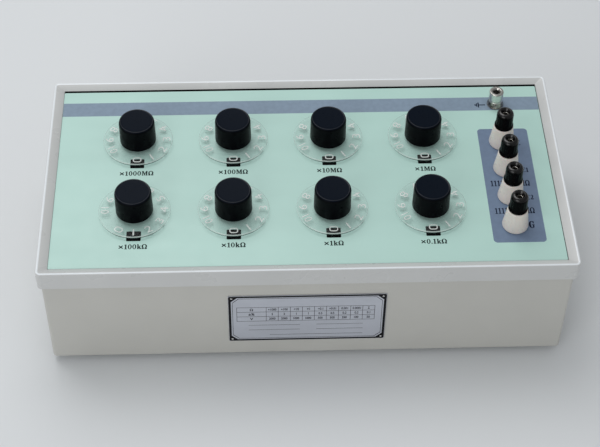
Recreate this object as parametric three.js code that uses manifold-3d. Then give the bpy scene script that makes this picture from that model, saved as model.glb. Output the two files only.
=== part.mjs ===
// Eight-decade bench resistance box, in millimetres, with +Z up and the origin at the
// centre of the footprint on the bench.
//
// A folded steel case stands on four rubber feet. A frame with a sloping lip holds an
// insulating board, and a printed face lies on the board. Each decade has a knob and a
// clear dial on a rotor, which turns inside a rotary switch with ten resistors. Four
// insulated terminals and one metal earth terminal stand at the right.

import * as THREE from 'three';
import { mergeVertices } from 'three/addons/utils/BufferGeometryUtils.js';
import Module from 'manifold-3d';

const wasm = await Module();
wasm.setup();

// Driving dimensions of the box: the grid of decades and its margins set width and depth
const columns = 4;
const column_pitch = 84;
const row_pitch = 84;
const left_margin = 79;
const terminal_gap = 70;
const terminal_margin = 49;
const front_margin = 70.3;
const back_margin = 73.7;
const body_height = 115;
const foot_height = 6;
const skirt_height = 18.5;

// Fits
const seat_gap = 0.1;
const loose_gap = 0.3;
const turning_gap = 0.5;
const cut_overrun = 1;

// Top frame
const frame_corner_radius = 4.5;
const frame_edge_radius = 1.4;
const frame_wall = 2.7;
const lip_width = 9;
const lip_drop = 3.3;
const lip_edge = 1.8;
const lip_corner_radius = 0.6;

// Case
const sheet = 1.5;
const case_corner_radius = 3;
const case_bend = 1.2;
const flange_width = 14;

// Panel board and printed face
const board_thickness = 6;
const face_thickness = 1;
const face_margin = 0.6;
const face_corner_radius = 1;

// Rating plate on the front of the case
const plate_width = 132;
const plate_height = 61;
const plate_thickness = 0.8;
const plate_lift = 0.75;
const plate_offset_x = -1;

// Rubber feet
const foot_top_radius = 10;
const foot_base_radius = 8.6;
const foot_edge = 0.8;
const foot_hole_radius = 3.5;
const foot_hole_depth = 3.4;
const foot_inset_x = 30;
const foot_inset_y = 29;

// Switch positions
const switch_step_deg = 30;
const switch_positions = 11;

// Knob
const knob_lift = 0.2;
const knob_height = 22.9;
const knob_base_radius = 15.9;
const knob_top_radius = 15.6;
const knob_foot_chamfer = 0.5;
const knob_shoulder = 0.6;
const knob_crown = 0.75;
const knob_dish_radius = 12.4;
const knob_dish_depth = 0.7;
const knob_dish_run = 0.9;
const knob_dish_sag = 0.3;
const knob_bore_depth = 14;

// Dial
const dial_lift = 1.6;
const dial_radius = 30.6;
const dial_thickness = 2;

// Rotor: shaft, index wheel, hub and wiper
const shaft_radius = 3;
const shaft_tail = 1.5;
const index_wheel_radius = 12;
const index_notch_depth = 0.6;
const index_wheel_thickness = 4;
const hub_radius = 4.6;
const wiper_reach = 14;
const wiper_width = 4;
const wiper_thickness = 1.2;
const wiper_nose = 3;

// Switch: index plate, detent, posts, wafer, tags and resistors
const index_plate_radius = 20;
const index_plate_thickness = 2;
const detent_width = 4;
const detent_height = 5;
const post_circle_radius = 17;
const post_radius = 2;
const post_count = 2;
const wafer_drop = 12;
const wafer_radius = 22.5;
const wafer_thickness = 2.4;
const tag_radius = 29;
const tag_width = 3;
const resistor_circle_radius = 16.5;
const resistor_radius = 2.9;
const resistor_length = 18;

// Insulated terminals
const terminal_front_margin = 49;
const terminal_pitch = 32.75;
const terminal_count = 4;
const base_radius = 11.2;
const base_foot_radius = 1;
const base_top_radius = 8.6;
const base_height = 20.6;
const spigot_radius = 5.6;
const spigot_overhang = 0.6;
const stud_radius = 3;
const stud_collar_radius = 5.6;
const stud_collar_height = 1.2;
const stud_reach = 34.9;
const stud_tail = 12;
const socket_radius = 2.05;
const socket_depth = 17;
const socket_mouth = 0.35;
const wire_hole_radius = 1.2;
const stud_nut_radius = 7;
const stud_nut_height = 5;
const bush_radius = 4.9;
const bush_end_margin = 1.2;

// Terminal cap
const cap_height = 17.1;
const cap_rim_radius = 8.3;
const cap_rim_height = 2.8;
const cap_waist_radius = 7.7;
const cap_crown_height = 3.1;
const cap_crown_radius = 7.4;
const cap_top_radius = 4.9;
const cap_rim_chamfer = 0.5;
const cap_throat = 0.6;
const flute_depth = 0.45;

// Earth terminal
const earth_back_margin = 32.5;
const earth_flange_radius = 7.5;
const earth_flange_height = 2;
const earth_cone_height = 4.2;
const earth_cone_radius = 5.7;
const earth_stud_radius = 2.5;
const earth_stud_reach = 16;
const earth_stud_tail = 8;
const earth_nut_radius = 6.4;
const earth_nut_height = 9;
const earth_nut_chamfer = 0.6;
const earth_sink_radius = 3.5;
const earth_sink_depth = 1.6;
const earth_washer_radius = 6;
const earth_washer_thickness = 1;
const earth_knurl_depth = 0.35;
const lock_nut_radius = 5;
const lock_nut_height = 3.5;

// Facet counts
const corner_steps = 3;
const knob_sides = 20;
const dial_sides = 28;
const base_sides = 16;
const cap_sides = 16;
const rod_sides = 8;
const plate_sides = 10;
const hole_sides = 6;
const resistor_sides = 4;
const nut_sides = 6;
const foot_sides = 12;

// Places worked out from the sizes above; the first column and row are the back left knob
const frame_width = left_margin + (columns - 1) * column_pitch + terminal_gap + terminal_margin;
const frame_depth = front_margin + row_pitch + back_margin;
const first_column_x = left_margin - frame_width / 2;
const back_row_y = frame_depth / 2 - back_margin;
const terminal_x = frame_width / 2 - terminal_margin;
const terminal_front_y = terminal_front_margin - frame_depth / 2;
const earth_y = frame_depth / 2 - earth_back_margin;

// Heights worked out from the sizes above
const rim_z = foot_height + body_height;
const skirt_z = rim_z - skirt_height;
const plate_centre_z = (foot_height + skirt_z) / 2 + plate_lift;
const lip_edge_z = rim_z - lip_drop;
const lip_under_z = lip_edge_z - lip_edge;
const board_top_z = lip_under_z - seat_gap;
const board_under_z = board_top_z - board_thickness;
const face_under_z = board_top_z + seat_gap;
const face_z = face_under_z + face_thickness;
const case_top_z = board_under_z - seat_gap;
const case_width = frame_width - 2 * (frame_wall + loose_gap);
const case_depth = frame_depth - 2 * (frame_wall + loose_gap);

const dial_z = face_z + dial_lift;
const knob_z = dial_z + dial_thickness + knob_lift;
const knob_bore_z = knob_z + knob_bore_depth;
const shaft_top_z = knob_bore_z - loose_gap;
const shaft_hole_radius = shaft_radius + turning_gap;
const index_plate_z = board_under_z - seat_gap - index_plate_thickness;
const index_wheel_z = index_plate_z - turning_gap - index_wheel_thickness;
const wafer_z = index_plate_z - wafer_drop - wafer_thickness;
const wiper_z = wafer_z + wafer_thickness + loose_gap;

const base_z = face_z + seat_gap;
const base_top_z = base_z + base_height;
const collar_z = base_top_z + seat_gap;
const collar_top_z = collar_z + stud_collar_height;
const stud_top_z = face_z + stud_reach;
const spigot_z = board_under_z - spigot_overhang;
const cap_z = base_top_z + loose_gap;
const cap_top_z = cap_z + cap_height;
const cap_bore_radius = bush_radius + loose_gap;
const bush_z = collar_top_z + loose_gap;
const bush_top_z = stud_top_z - bush_end_margin;

const earth_washer_z = face_z + seat_gap + earth_flange_height + earth_cone_height + seat_gap;
const earth_nut_z = earth_washer_z + earth_washer_thickness + seat_gap;

// The rest reading of each decade, in the order of the grid
const decades = [
  { name: '1000M', reading: 0 },
  { name: '100M', reading: 0 },
  { name: '10M', reading: 0 },
  { name: '1M', reading: 0 },
  { name: '100k', reading: 1 },
  { name: '10k', reading: 0 },
  { name: '1k', reading: 0 },
  { name: '0k1', reading: 0 },
];

const paint = { color: 0xb4b3ae, roughness: 0.5, metalness: 0 };
const materials = {
  case: paint,
  frame: { color: 0xc3c4c3, roughness: 0.45, metalness: 0 },
  board: { color: 0x17191b, roughness: 0.6, metalness: 0 },
  face: { color: 0xb4d7ce, roughness: 0.4, metalness: 0 },
  plate: { color: 0xbcc2d2, roughness: 0.35, metalness: 0.6 },
  rubber: { color: 0x1c1c1c, roughness: 0.9, metalness: 0 },
  bakelite: { color: 0x15171d, roughness: 0.3, metalness: 0 },
  acrylic: { color: 0xe6f2ee, roughness: 0.05, metalness: 0, transparent: true, opacity: 0.35 },
  steel: { color: 0xb9bcc0, roughness: 0.35, metalness: 1 },
  brass: { color: 0xc9a959, roughness: 0.35, metalness: 1 },
  nickel: { color: 0xd6d4cf, roughness: 0.2, metalness: 1 },
  cream: { color: 0xdcd8ca, roughness: 0.35, metalness: 0 },
  laminate: { color: 0x8a5a34, roughness: 0.6, metalness: 0 },
};

const model = new THREE.Group();

// Turns a geometry the right way out and keeps only merged positions.
function outward(geometry) {
  const bare = geometry.index ? geometry.toNonIndexed() : geometry.clone();
  bare.deleteAttribute('normal');
  bare.deleteAttribute('uv');
  const merged = mergeVertices(bare);
  const p = merged.attributes.position;
  const index = Array.from(merged.index.array);
  const corner = (i) => new THREE.Vector3().fromBufferAttribute(p, i);
  const faces = [];
  let volume = 0;
  for (let i = 0; i < index.length; i += 3) {
    const [a, b, c] = index.slice(i, i + 3);
    if (a === b || b === c || c === a) continue;
    faces.push([a, b, c]);
    volume += corner(a).dot(corner(b).cross(corner(c)));
  }
  const turned = volume < 0 ? faces.map(([a, b, c]) => [a, c, b]) : faces;
  merged.setIndex(turned.flat());
  return merged;
}

function toSolid(geometry) {
  const closed = outward(geometry);
  const vertProperties = new Float32Array(closed.attributes.position.array);
  const triVerts = new Uint32Array(closed.index.array);
  return new wasm.Manifold(new wasm.Mesh({ numProp: 3, vertProperties, triVerts }));
}

function toGeometry(solid) {
  const mesh = solid.getMesh();
  const geometry = new THREE.BufferGeometry();
  geometry.setAttribute('position', new THREE.BufferAttribute(mesh.vertProperties, 3));
  geometry.setIndex(new THREE.BufferAttribute(mesh.triVerts, 1));
  return geometry;
}

function join(pieces) {
  return pieces.slice(1).reduce((sum, piece) => sum.add(piece), pieces[0]);
}

function addPart(name, geometry, look, parent = model) {
  const mesh = new THREE.Mesh(outward(geometry), new THREE.MeshStandardMaterial(look));
  mesh.name = name;
  parent.add(mesh);
  return mesh;
}

// A solid of revolution about Z, from points of [radius, height].
function turned(profile, sides) {
  const points = profile.map(([r, z]) => new THREE.Vector2(r, z));
  return new THREE.LatheGeometry(points, sides).rotateX(Math.PI / 2);
}

// The same with shallow grooves: every other side line of the named points lies deeper.
function grooved(profile, sides, first, last, depth) {
  const points = profile.map(([r, z]) => new THREE.Vector2(r, z));
  const lathe = new THREE.LatheGeometry(points, sides);
  const p = lathe.attributes.position;
  for (let side = 1; side < sides; side += 2) {
    for (let k = first; k <= last; k += 1) {
      const i = side * points.length + k;
      const keep = 1 - depth / points[k].x;
      p.setXYZ(i, p.getX(i) * keep, p.getY(i), p.getZ(i) * keep);
    }
  }
  return lathe.rotateX(Math.PI / 2);
}

function roundedRectangle(width, height, radius) {
  const x = width / 2;
  const y = height / 2;
  const shape = new THREE.Shape();
  shape.moveTo(-x + radius, -y);
  shape.lineTo(x - radius, -y);
  shape.absarc(x - radius, -y + radius, radius, -Math.PI / 2, 0);
  shape.lineTo(x, y - radius);
  shape.absarc(x - radius, y - radius, radius, 0, Math.PI / 2);
  shape.lineTo(-x + radius, y);
  shape.absarc(-x + radius, y - radius, radius, Math.PI / 2, Math.PI);
  shape.lineTo(-x, -y + radius);
  shape.absarc(-x + radius, -y + radius, radius, Math.PI, 1.5 * Math.PI);
  return shape;
}

function closedPath(path, points) {
  path.moveTo(...points[0]);
  points.slice(1).forEach((point) => path.lineTo(...point));
  path.closePath();
  return path;
}

function ringPoints(x, y, radius, sides) {
  return Array.from({ length: sides }, (_, i) => {
    const a = (2 * Math.PI * i) / sides;
    return [x + radius * Math.cos(a), y + radius * Math.sin(a)];
  });
}

// A hole whose flats, not its corners, lie at the clear radius.
function clearHole(x, y, clear, sides = hole_sides) {
  const radius = clear / Math.cos(Math.PI / sides);
  return closedPath(new THREE.Path(), ringPoints(x, y, radius, sides));
}

function slab(shape, bottom, thickness) {
  const settings = { depth: thickness, bevelEnabled: false, curveSegments: corner_steps };
  return new THREE.ExtrudeGeometry(shape, settings).translate(0, 0, bottom);
}

// One level line of a rounded rectangle, as points at the height z.
function rectangleLoop(width, depth, radius, z) {
  const loop = [];
  for (let corner = 0; corner < 4; corner += 1) {
    const sx = corner === 0 || corner === 3 ? 1 : -1;
    const sy = corner < 2 ? 1 : -1;
    for (let step = 0; step <= corner_steps; step += 1) {
      const a = (Math.PI / 2) * (corner + step / corner_steps);
      const x = sx * (width / 2 - radius) + radius * Math.cos(a);
      const y = sy * (depth / 2 - radius) + radius * Math.sin(a);
      loop.push(new THREE.Vector3(x, y, z));
    }
  }
  return loop;
}

// Skins a row of loops. A ring joins the last loop to the first, and otherwise the
// first and last loops are filled.
function skinned(loops, ring) {
  const sides = loops[0].length;
  const points = loops.flat();
  const faces = [];
  const spans = ring ? loops.length : loops.length - 1;
  for (let level = 0; level < spans; level += 1) {
    const low = level * sides;
    const high = ((level + 1) % loops.length) * sides;
    for (let i = 0; i < sides; i += 1) {
      const j = (i + 1) % sides;
      faces.push(low + i, low + j, high + j, low + i, high + j, high + i);
    }
  }
  if (!ring) {
    const last = (loops.length - 1) * sides;
    for (let i = 1; i < sides - 1; i += 1) {
      faces.push(0, i + 1, i, last, last + i, last + i + 1);
    }
  }
  const flat = points.flatMap((p) => [p.x, p.y, p.z]);
  const geometry = new THREE.BufferGeometry();
  geometry.setAttribute('position', new THREE.Float32BufferAttribute(flat, 3));
  geometry.setIndex(faces);
  return geometry;
}

function decadePlace(number) {
  const x = first_column_x + (number % columns) * column_pitch;
  const y = back_row_y - Math.floor(number / columns) * row_pitch;
  return [x, y];
}

function terminalY(number) {
  return terminal_front_y + (terminal_count - number) * terminal_pitch;
}

// Case, a folded tray whose top edge turns in to carry the board
function makeCase() {
  const level = (inset, z) => {
    const radius = Math.max(case_corner_radius - inset, lip_corner_radius);
    return rectangleLoop(case_width - 2 * inset, case_depth - 2 * inset, radius, z);
  };
  const loops = [
    level(case_bend, foot_height),
    level(0, foot_height + case_bend),
    level(0, case_top_z),
    level(flange_width, case_top_z),
    level(flange_width, case_top_z - sheet),
    level(sheet, case_top_z - sheet),
    level(sheet, foot_height + sheet),
  ];
  addPart('case', skinned(loops, false), materials.case);
}

// Frame, one closed section led round the rounded rectangle of the top
function makeTopFrame() {
  const level = (inset, z) => {
    const radius = Math.max(frame_corner_radius - inset, lip_corner_radius);
    return rectangleLoop(frame_width - 2 * inset, frame_depth - 2 * inset, radius, z);
  };
  const loops = [level(0, skirt_z)];
  for (let step = 0; step <= corner_steps; step += 1) {
    const a = (Math.PI / 2) * (step / corner_steps);
    const inset = frame_edge_radius * (1 - Math.cos(a));
    loops.push(level(inset, rim_z - frame_edge_radius * (1 - Math.sin(a))));
  }
  loops.push(level(lip_width, lip_edge_z));
  loops.push(level(lip_width, lip_under_z));
  loops.push(level(frame_wall, lip_under_z));
  loops.push(level(frame_wall, skirt_z));
  addPart('top_frame', skinned(loops, true), materials.frame);
}

function panelHoles(shape) {
  decades.forEach((decade, number) => {
    const [x, y] = decadePlace(number);
    shape.holes.push(clearHole(x, y, shaft_hole_radius));
  });
  for (let number = 1; number <= terminal_count; number += 1) {
    shape.holes.push(clearHole(terminal_x, terminalY(number), spigot_radius + loose_gap, rod_sides));
  }
  shape.holes.push(clearHole(terminal_x, earth_y, earth_stud_radius + loose_gap));
  return shape;
}

function makePanel() {
  const board = panelHoles(roundedRectangle(case_width, case_depth, case_corner_radius));
  addPart('panel_board', slab(board, board_under_z, board_thickness), materials.board);
  const width = frame_width - 2 * (lip_width + face_margin);
  const depth = frame_depth - 2 * (lip_width + face_margin);
  const face = panelHoles(roundedRectangle(width, depth, face_corner_radius));
  addPart('panel_face', slab(face, face_under_z, face_thickness), materials.face);
}

function makeRatingPlate() {
  const shape = new THREE.BoxGeometry(plate_width, plate_thickness, plate_height);
  const plate = addPart('rating_plate', shape, materials.plate);
  const y = -case_depth / 2 - seat_gap - plate_thickness / 2;
  plate.position.set(plate_offset_x, y, plate_centre_z);
}

function makeFeet() {
  const top = foot_height - seat_gap;
  const profile = [
    [0, foot_hole_depth],
    [foot_hole_radius, foot_hole_depth],
    [foot_hole_radius, 0],
    [foot_base_radius - foot_edge, 0],
    [foot_base_radius, foot_edge],
    [foot_top_radius, top],
    [0, top],
  ];
  const x = case_width / 2 - foot_inset_x;
  const y = case_depth / 2 - foot_inset_y;
  for (const [side, sx] of [['left', -1], ['right', 1]]) {
    for (const [end, sy] of [['front', -1], ['back', 1]]) {
      const foot = addPart(`foot_${end}_${side}`, turned(profile, foot_sides), materials.rubber);
      foot.position.set(sx * x, sy * y, 0);
    }
  }
}

function knobShape() {
  const top = knob_z + knob_height;
  const shoulder_z = top - knob_crown;
  const body = turned([
    [0, knob_z],
    [knob_base_radius - knob_foot_chamfer, knob_z],
    [knob_base_radius, knob_z + knob_foot_chamfer],
    [knob_top_radius, shoulder_z - knob_shoulder],
    [knob_top_radius - knob_shoulder, shoulder_z],
    [knob_dish_radius, top],
    [knob_dish_radius - knob_dish_run, top - knob_dish_depth],
    [0, top - knob_dish_depth - knob_dish_sag],
  ], knob_sides);
  const clear = (shaft_radius + loose_gap) / Math.cos(Math.PI / rod_sides);
  const section = closedPath(new THREE.Shape(), ringPoints(0, 0, clear, rod_sides));
  const bore = slab(section, knob_z - cut_overrun, knob_bore_depth + cut_overrun);
  return toGeometry(toSolid(body).subtract(toSolid(bore)));
}

function dialShape() {
  const disc = closedPath(new THREE.Shape(), ringPoints(0, 0, dial_radius, dial_sides));
  disc.holes.push(clearHole(0, 0, shaft_radius + loose_gap));
  return slab(disc, dial_z, dial_thickness);
}

// Rotor with its wiper on the contact of reading zero, at the front
function rotorShape() {
  const shaft = turned([
    [0, wafer_z - shaft_tail],
    [shaft_radius, wafer_z - shaft_tail],
    [shaft_radius, wiper_z],
    [hub_radius, wiper_z],
    [hub_radius, index_wheel_z],
    [shaft_radius, index_wheel_z + index_wheel_thickness],
    [shaft_radius, shaft_top_z],
    [0, shaft_top_z],
  ], rod_sides);
  const lobes = 360 / switch_step_deg;
  const rim = ringPoints(0, 0, index_wheel_radius, 2 * lobes).map(([x, y], i) => {
    const keep = i % 2 ? 1 : 1 - index_notch_depth / index_wheel_radius;
    return [x * keep, y * keep];
  });
  const wheel = closedPath(new THREE.Shape(), rim);
  const arm = closedPath(new THREE.Shape(), [
    [wiper_width / 2, 0],
    [-wiper_width / 2, 0],
    [-wiper_width / 2, wiper_nose - wiper_reach],
    [0, -wiper_reach],
    [wiper_width / 2, wiper_nose - wiper_reach],
  ]);
  return toGeometry(join([
    toSolid(shaft),
    toSolid(slab(wheel, index_wheel_z, index_wheel_thickness)),
    toSolid(slab(arm, wiper_z, wiper_thickness)),
  ]));
}

// The direction of a contact, counted clockwise from the window at the front
function contactAngle(reading) {
  return -Math.PI / 2 - THREE.MathUtils.degToRad(switch_step_deg * reading);
}

function waferOutline() {
  const half = tag_width / 2;
  const root = Math.sqrt(wafer_radius ** 2 - half ** 2);
  const tag = [[root, -half], [tag_radius, -half], [tag_radius, half], [root, half]];
  const spin = ([x, y], a) => [
    x * Math.cos(a) - y * Math.sin(a),
    x * Math.sin(a) + y * Math.cos(a),
  ];
  const points = [spin([wafer_radius, 0], contactAngle(-1))];
  for (let reading = switch_positions - 1; reading >= 0; reading -= 1) {
    points.push(...tag.map((point) => spin(point, contactAngle(reading))));
  }
  const shape = closedPath(new THREE.Shape(), points);
  shape.holes.push(clearHole(0, 0, shaft_hole_radius));
  return shape;
}

function switchShape() {
  const rim = ringPoints(0, 0, index_plate_radius, plate_sides);
  const plate = closedPath(new THREE.Shape(), rim);
  plate.holes.push(clearHole(0, 0, shaft_hole_radius));
  const pieces = [
    toSolid(slab(plate, index_plate_z, index_plate_thickness)),
    toSolid(slab(waferOutline(), wafer_z, wafer_thickness)),
  ];
  const stem = (a, reach, radius, sides, bottom, length) => {
    const points = ringPoints(reach * Math.cos(a), reach * Math.sin(a), radius, sides);
    return toSolid(slab(closedPath(new THREE.Shape(), points), bottom, length));
  };
  const half_step = THREE.MathUtils.degToRad(switch_step_deg / 2);
  const post_z = wafer_z + wafer_thickness / 2;
  const post_length = index_plate_z + index_plate_thickness / 2 - post_z;
  for (let i = 0; i < post_count; i += 1) {
    const a = half_step + (2 * Math.PI * i) / post_count;
    pieces.push(stem(a, post_circle_radius, post_radius, nut_sides, post_z, post_length));
  }
  const resistor_z = wafer_z - resistor_length;
  const length = resistor_length + wafer_thickness / 2;
  for (let reading = 0; reading < switch_positions - 1; reading += 1) {
    const a = contactAngle(reading) - half_step;
    pieces.push(stem(a, resistor_circle_radius, resistor_radius, resistor_sides, resistor_z, length));
  }
  const nose = index_wheel_radius + loose_gap;
  const detent = closedPath(new THREE.Shape(), [
    [0, nose],
    [detent_width / 2, nose + detent_width / 2],
    [detent_width / 2, index_plate_radius - detent_width / 2],
    [-detent_width / 2, index_plate_radius - detent_width / 2],
    [-detent_width / 2, nose + detent_width / 2],
  ]);
  const sunk = index_plate_thickness / 2;
  pieces.push(toSolid(slab(detent, index_plate_z + sunk - detent_height, detent_height)));
  return toGeometry(join(pieces));
}

function makeDecades() {
  const shapes = { knob: knobShape(), dial: dialShape(), rotor: rotorShape(), switch: switchShape() };
  decades.forEach(({ name, reading }, number) => {
    const [x, y] = decadePlace(number);
    const place = new THREE.Group();
    place.position.set(x, y, 0);
    model.add(place);
    addPart(`knob_${name}`, shapes.knob, materials.bakelite, place);
    addPart(`dial_${name}`, shapes.dial, materials.acrylic, place);
    addPart(`switch_${name}`, shapes.switch, materials.laminate, place);
    const rotor = addPart(`rotor_${name}`, shapes.rotor, materials.steel, place);
    rotor.rotation.z = contactAngle(reading) - contactAngle(0);
  });
}

// Insulating base with a spigot that lines the hole in the panel
function baseShape() {
  const bore = stud_radius + loose_gap;
  return turned([
    [bore, spigot_z],
    [spigot_radius, spigot_z],
    [spigot_radius, base_z],
    [base_radius - base_foot_radius, base_z],
    [base_radius, base_z + base_foot_radius],
    [base_top_radius, base_top_z],
    [bore, base_top_z],
    [bore, spigot_z],
  ], base_sides);
}

// Stud with its clamping collar, its nut under the board, a plug socket down its axis
// and a hole across it for a bare wire
function studShape() {
  const nut_top = spigot_z - loose_gap;
  const nut_under = nut_top - stud_nut_height;
  const stem = turned([
    [0, spigot_z - stud_tail],
    [stud_radius, spigot_z - stud_tail],
    [stud_radius, collar_z],
    [stud_collar_radius, collar_z],
    [stud_collar_radius, collar_top_z],
    [stud_radius, collar_top_z],
    [stud_radius, stud_top_z],
    [socket_radius + socket_mouth, stud_top_z],
    [socket_radius, stud_top_z - socket_mouth],
    [socket_radius, stud_top_z - socket_depth],
    [0, stud_top_z - socket_depth - socket_radius],
  ], rod_sides);
  const nut = turned([
    [0, nut_under],
    [stud_nut_radius, nut_under],
    [stud_nut_radius, nut_top],
    [0, nut_top],
  ], nut_sides);
  const wire = new THREE.CylinderGeometry(
    wire_hole_radius,
    wire_hole_radius,
    2 * (stud_radius + cut_overrun),
    nut_sides,
  );
  wire.translate(0, 0, collar_top_z + loose_gap + wire_hole_radius);
  return toGeometry(join([toSolid(stem), toSolid(nut)]).subtract(toSolid(wire)));
}

function bushShape() {
  const bore = stud_radius + loose_gap;
  return turned([
    [bore, bush_z],
    [bush_radius, bush_z],
    [bush_radius, bush_top_z],
    [bore, bush_top_z],
    [bore, bush_z],
  ], rod_sides);
}

// Cap, a fluted dome with a funnel in its crown that leads a plug to the socket
function capShape() {
  const collar_room = stud_collar_radius + loose_gap;
  const shelf_z = collar_top_z + loose_gap;
  const roof_z = bush_top_z + loose_gap;
  const mouth = stud_radius + loose_gap;
  const profile = [
    [collar_room, shelf_z],
    [collar_room, cap_z],
    [cap_rim_radius - cap_rim_chamfer, cap_z],
    [cap_rim_radius, cap_z + cap_rim_chamfer],
    [cap_waist_radius, cap_z + cap_rim_height],
    [cap_crown_radius, cap_top_z - cap_crown_height],
    [(cap_crown_radius + cap_top_radius) / 2, cap_top_z - cap_crown_height / 4],
    [cap_top_radius, cap_top_z],
    [mouth, stud_top_z + seat_gap + cap_throat],
    [mouth, roof_z],
    [cap_bore_radius, roof_z],
    [cap_bore_radius, shelf_z],
    [collar_room, shelf_z],
  ];
  return grooved(profile, cap_sides, 4, 5, flute_depth);
}

function makeTerminals() {
  const shapes = { base: baseShape(), stud: studShape(), bush: bushShape(), cap: capShape() };
  const looks = {
    base: materials.cream,
    stud: materials.nickel,
    bush: materials.brass,
    cap: materials.bakelite,
  };
  for (let number = 1; number <= terminal_count; number += 1) {
    for (const piece of Object.keys(shapes)) {
      const part = addPart(`terminal_${piece}_${number}`, shapes[piece], looks[piece]);
      part.position.set(terminal_x, terminalY(number), 0);
    }
  }
}

function makeEarthTerminal() {
  const flange_z = face_z + seat_gap;
  const cone_z = flange_z + earth_flange_height;
  const nut_top = board_under_z - seat_gap;
  const stud = turned([
    [0, nut_top - earth_stud_tail],
    [earth_stud_radius, nut_top - earth_stud_tail],
    [earth_stud_radius, nut_top - lock_nut_height],
    [lock_nut_radius, nut_top - lock_nut_height],
    [lock_nut_radius, nut_top],
    [earth_stud_radius, nut_top],
    [earth_stud_radius, flange_z],
    [earth_flange_radius, flange_z],
    [earth_flange_radius, cone_z],
    [earth_cone_radius, cone_z + earth_cone_height],
    [earth_stud_radius, cone_z + earth_cone_height],
    [earth_stud_radius, face_z + earth_stud_reach],
    [0, face_z + earth_stud_reach],
  ], base_sides);
  const bore = earth_stud_radius + loose_gap;
  const washer = turned([
    [bore, earth_washer_z],
    [earth_washer_radius, earth_washer_z],
    [earth_washer_radius, earth_washer_z + earth_washer_thickness],
    [bore, earth_washer_z + earth_washer_thickness],
    [bore, earth_washer_z],
  ], base_sides);
  const nut_end = earth_nut_z + earth_nut_height;
  const nut = grooved([
    [bore, earth_nut_z],
    [earth_nut_radius - earth_nut_chamfer, earth_nut_z],
    [earth_nut_radius, earth_nut_z + earth_nut_chamfer],
    [earth_nut_radius, nut_end - earth_nut_chamfer],
    [earth_nut_radius - earth_nut_chamfer, nut_end],
    [earth_sink_radius, nut_end],
    [bore, nut_end - earth_sink_depth],
    [bore, earth_nut_z],
  ], cap_sides, 2, 3, earth_knurl_depth);
  const pieces = { earth_stud: stud, earth_washer: washer, earth_thumb_nut: nut };
  for (const [name, shape] of Object.entries(pieces)) {
    addPart(name, shape, materials.nickel).position.set(terminal_x, earth_y, 0);
  }
}

makeCase();
makeTopFrame();
makePanel();
makeRatingPlate();
makeFeet();
makeDecades();
makeTerminals();
makeEarthTerminal();

export default model;
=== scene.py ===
# Look of an eight-decade bench resistance box, laid out as a Blender add-on and run as a script.
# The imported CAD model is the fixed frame. Fine metalwork, prints, dials, knobs and terminals go round it.

import math

import bmesh
import bpy
from mathutils import Matrix, Vector


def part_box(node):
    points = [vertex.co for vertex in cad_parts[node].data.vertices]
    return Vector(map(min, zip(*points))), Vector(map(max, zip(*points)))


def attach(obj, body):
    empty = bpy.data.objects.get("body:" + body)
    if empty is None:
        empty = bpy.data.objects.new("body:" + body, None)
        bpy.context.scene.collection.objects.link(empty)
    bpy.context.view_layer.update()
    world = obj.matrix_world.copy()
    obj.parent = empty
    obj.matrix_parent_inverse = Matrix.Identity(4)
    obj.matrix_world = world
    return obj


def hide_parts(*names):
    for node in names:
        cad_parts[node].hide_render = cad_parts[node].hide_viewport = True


bl_info = {
    "name": "Decade Resistance Box",
    "version": (1, 0, 0),
    "blender": (4, 5, 0),
    "location": "3D View > Sidebar > Resistance Box",
    "description": "Builds the metalwork, prints, dials, knobs and terminals of a decade resistance box",
    "category": "Add Mesh",
}

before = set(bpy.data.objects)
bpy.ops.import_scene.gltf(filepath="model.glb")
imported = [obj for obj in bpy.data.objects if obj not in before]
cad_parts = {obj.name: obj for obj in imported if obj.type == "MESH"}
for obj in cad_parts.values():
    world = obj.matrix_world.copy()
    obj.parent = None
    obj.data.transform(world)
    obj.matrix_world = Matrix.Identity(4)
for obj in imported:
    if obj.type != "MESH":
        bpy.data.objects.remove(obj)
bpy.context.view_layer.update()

MM = 0.001

# Gap that the CAD leaves between seated pieces, and the least corner radius of folded sheet
SEAT_GAP = 0.1 * MM
LEAST_CORNER = 0.6 * MM

# Label and rest reading of each decade, in the order of the grid
DECADES = {
    "1000M": ("×1000MΩ", 0),
    "100M": ("×100MΩ", 0),
    "10M": ("×10MΩ", 0),
    "1M": ("×1MΩ", 0),
    "100k": ("×100kΩ", 1),
    "10k": ("×10kΩ", 0),
    "1k": ("×1kΩ", 0),
    "0k1": ("×0.1kΩ", 0),
}
STEP = math.radians(30)
READINGS = 11
TERMINALS = (1, 2, 3, 4)
FEET = ("foot_front_left", "foot_front_right", "foot_back_left", "foot_back_right")


def linear(code):
    """Linear RGBA of an sRGB hex colour."""
    channels = [int(code[i:i + 2], 16) / 255 for i in (0, 2, 4)]
    return (*[c / 12.92 if c <= 0.04045 else ((c + 0.055) / 1.055) ** 2.4 for c in channels], 1.0)


def size(name, millimetres, description):
    """A length that a user may change, kept in metres."""
    return bpy.props.FloatProperty(
        name=name, description=description, default=millimetres * MM, unit="LENGTH", precision=5)


def colour(name, code, description):
    """A colour that a user may change."""
    return bpy.props.FloatVectorProperty(
        name=name, description=description, default=linear(code), size=4, subtype="COLOR", min=0, max=1)


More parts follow.
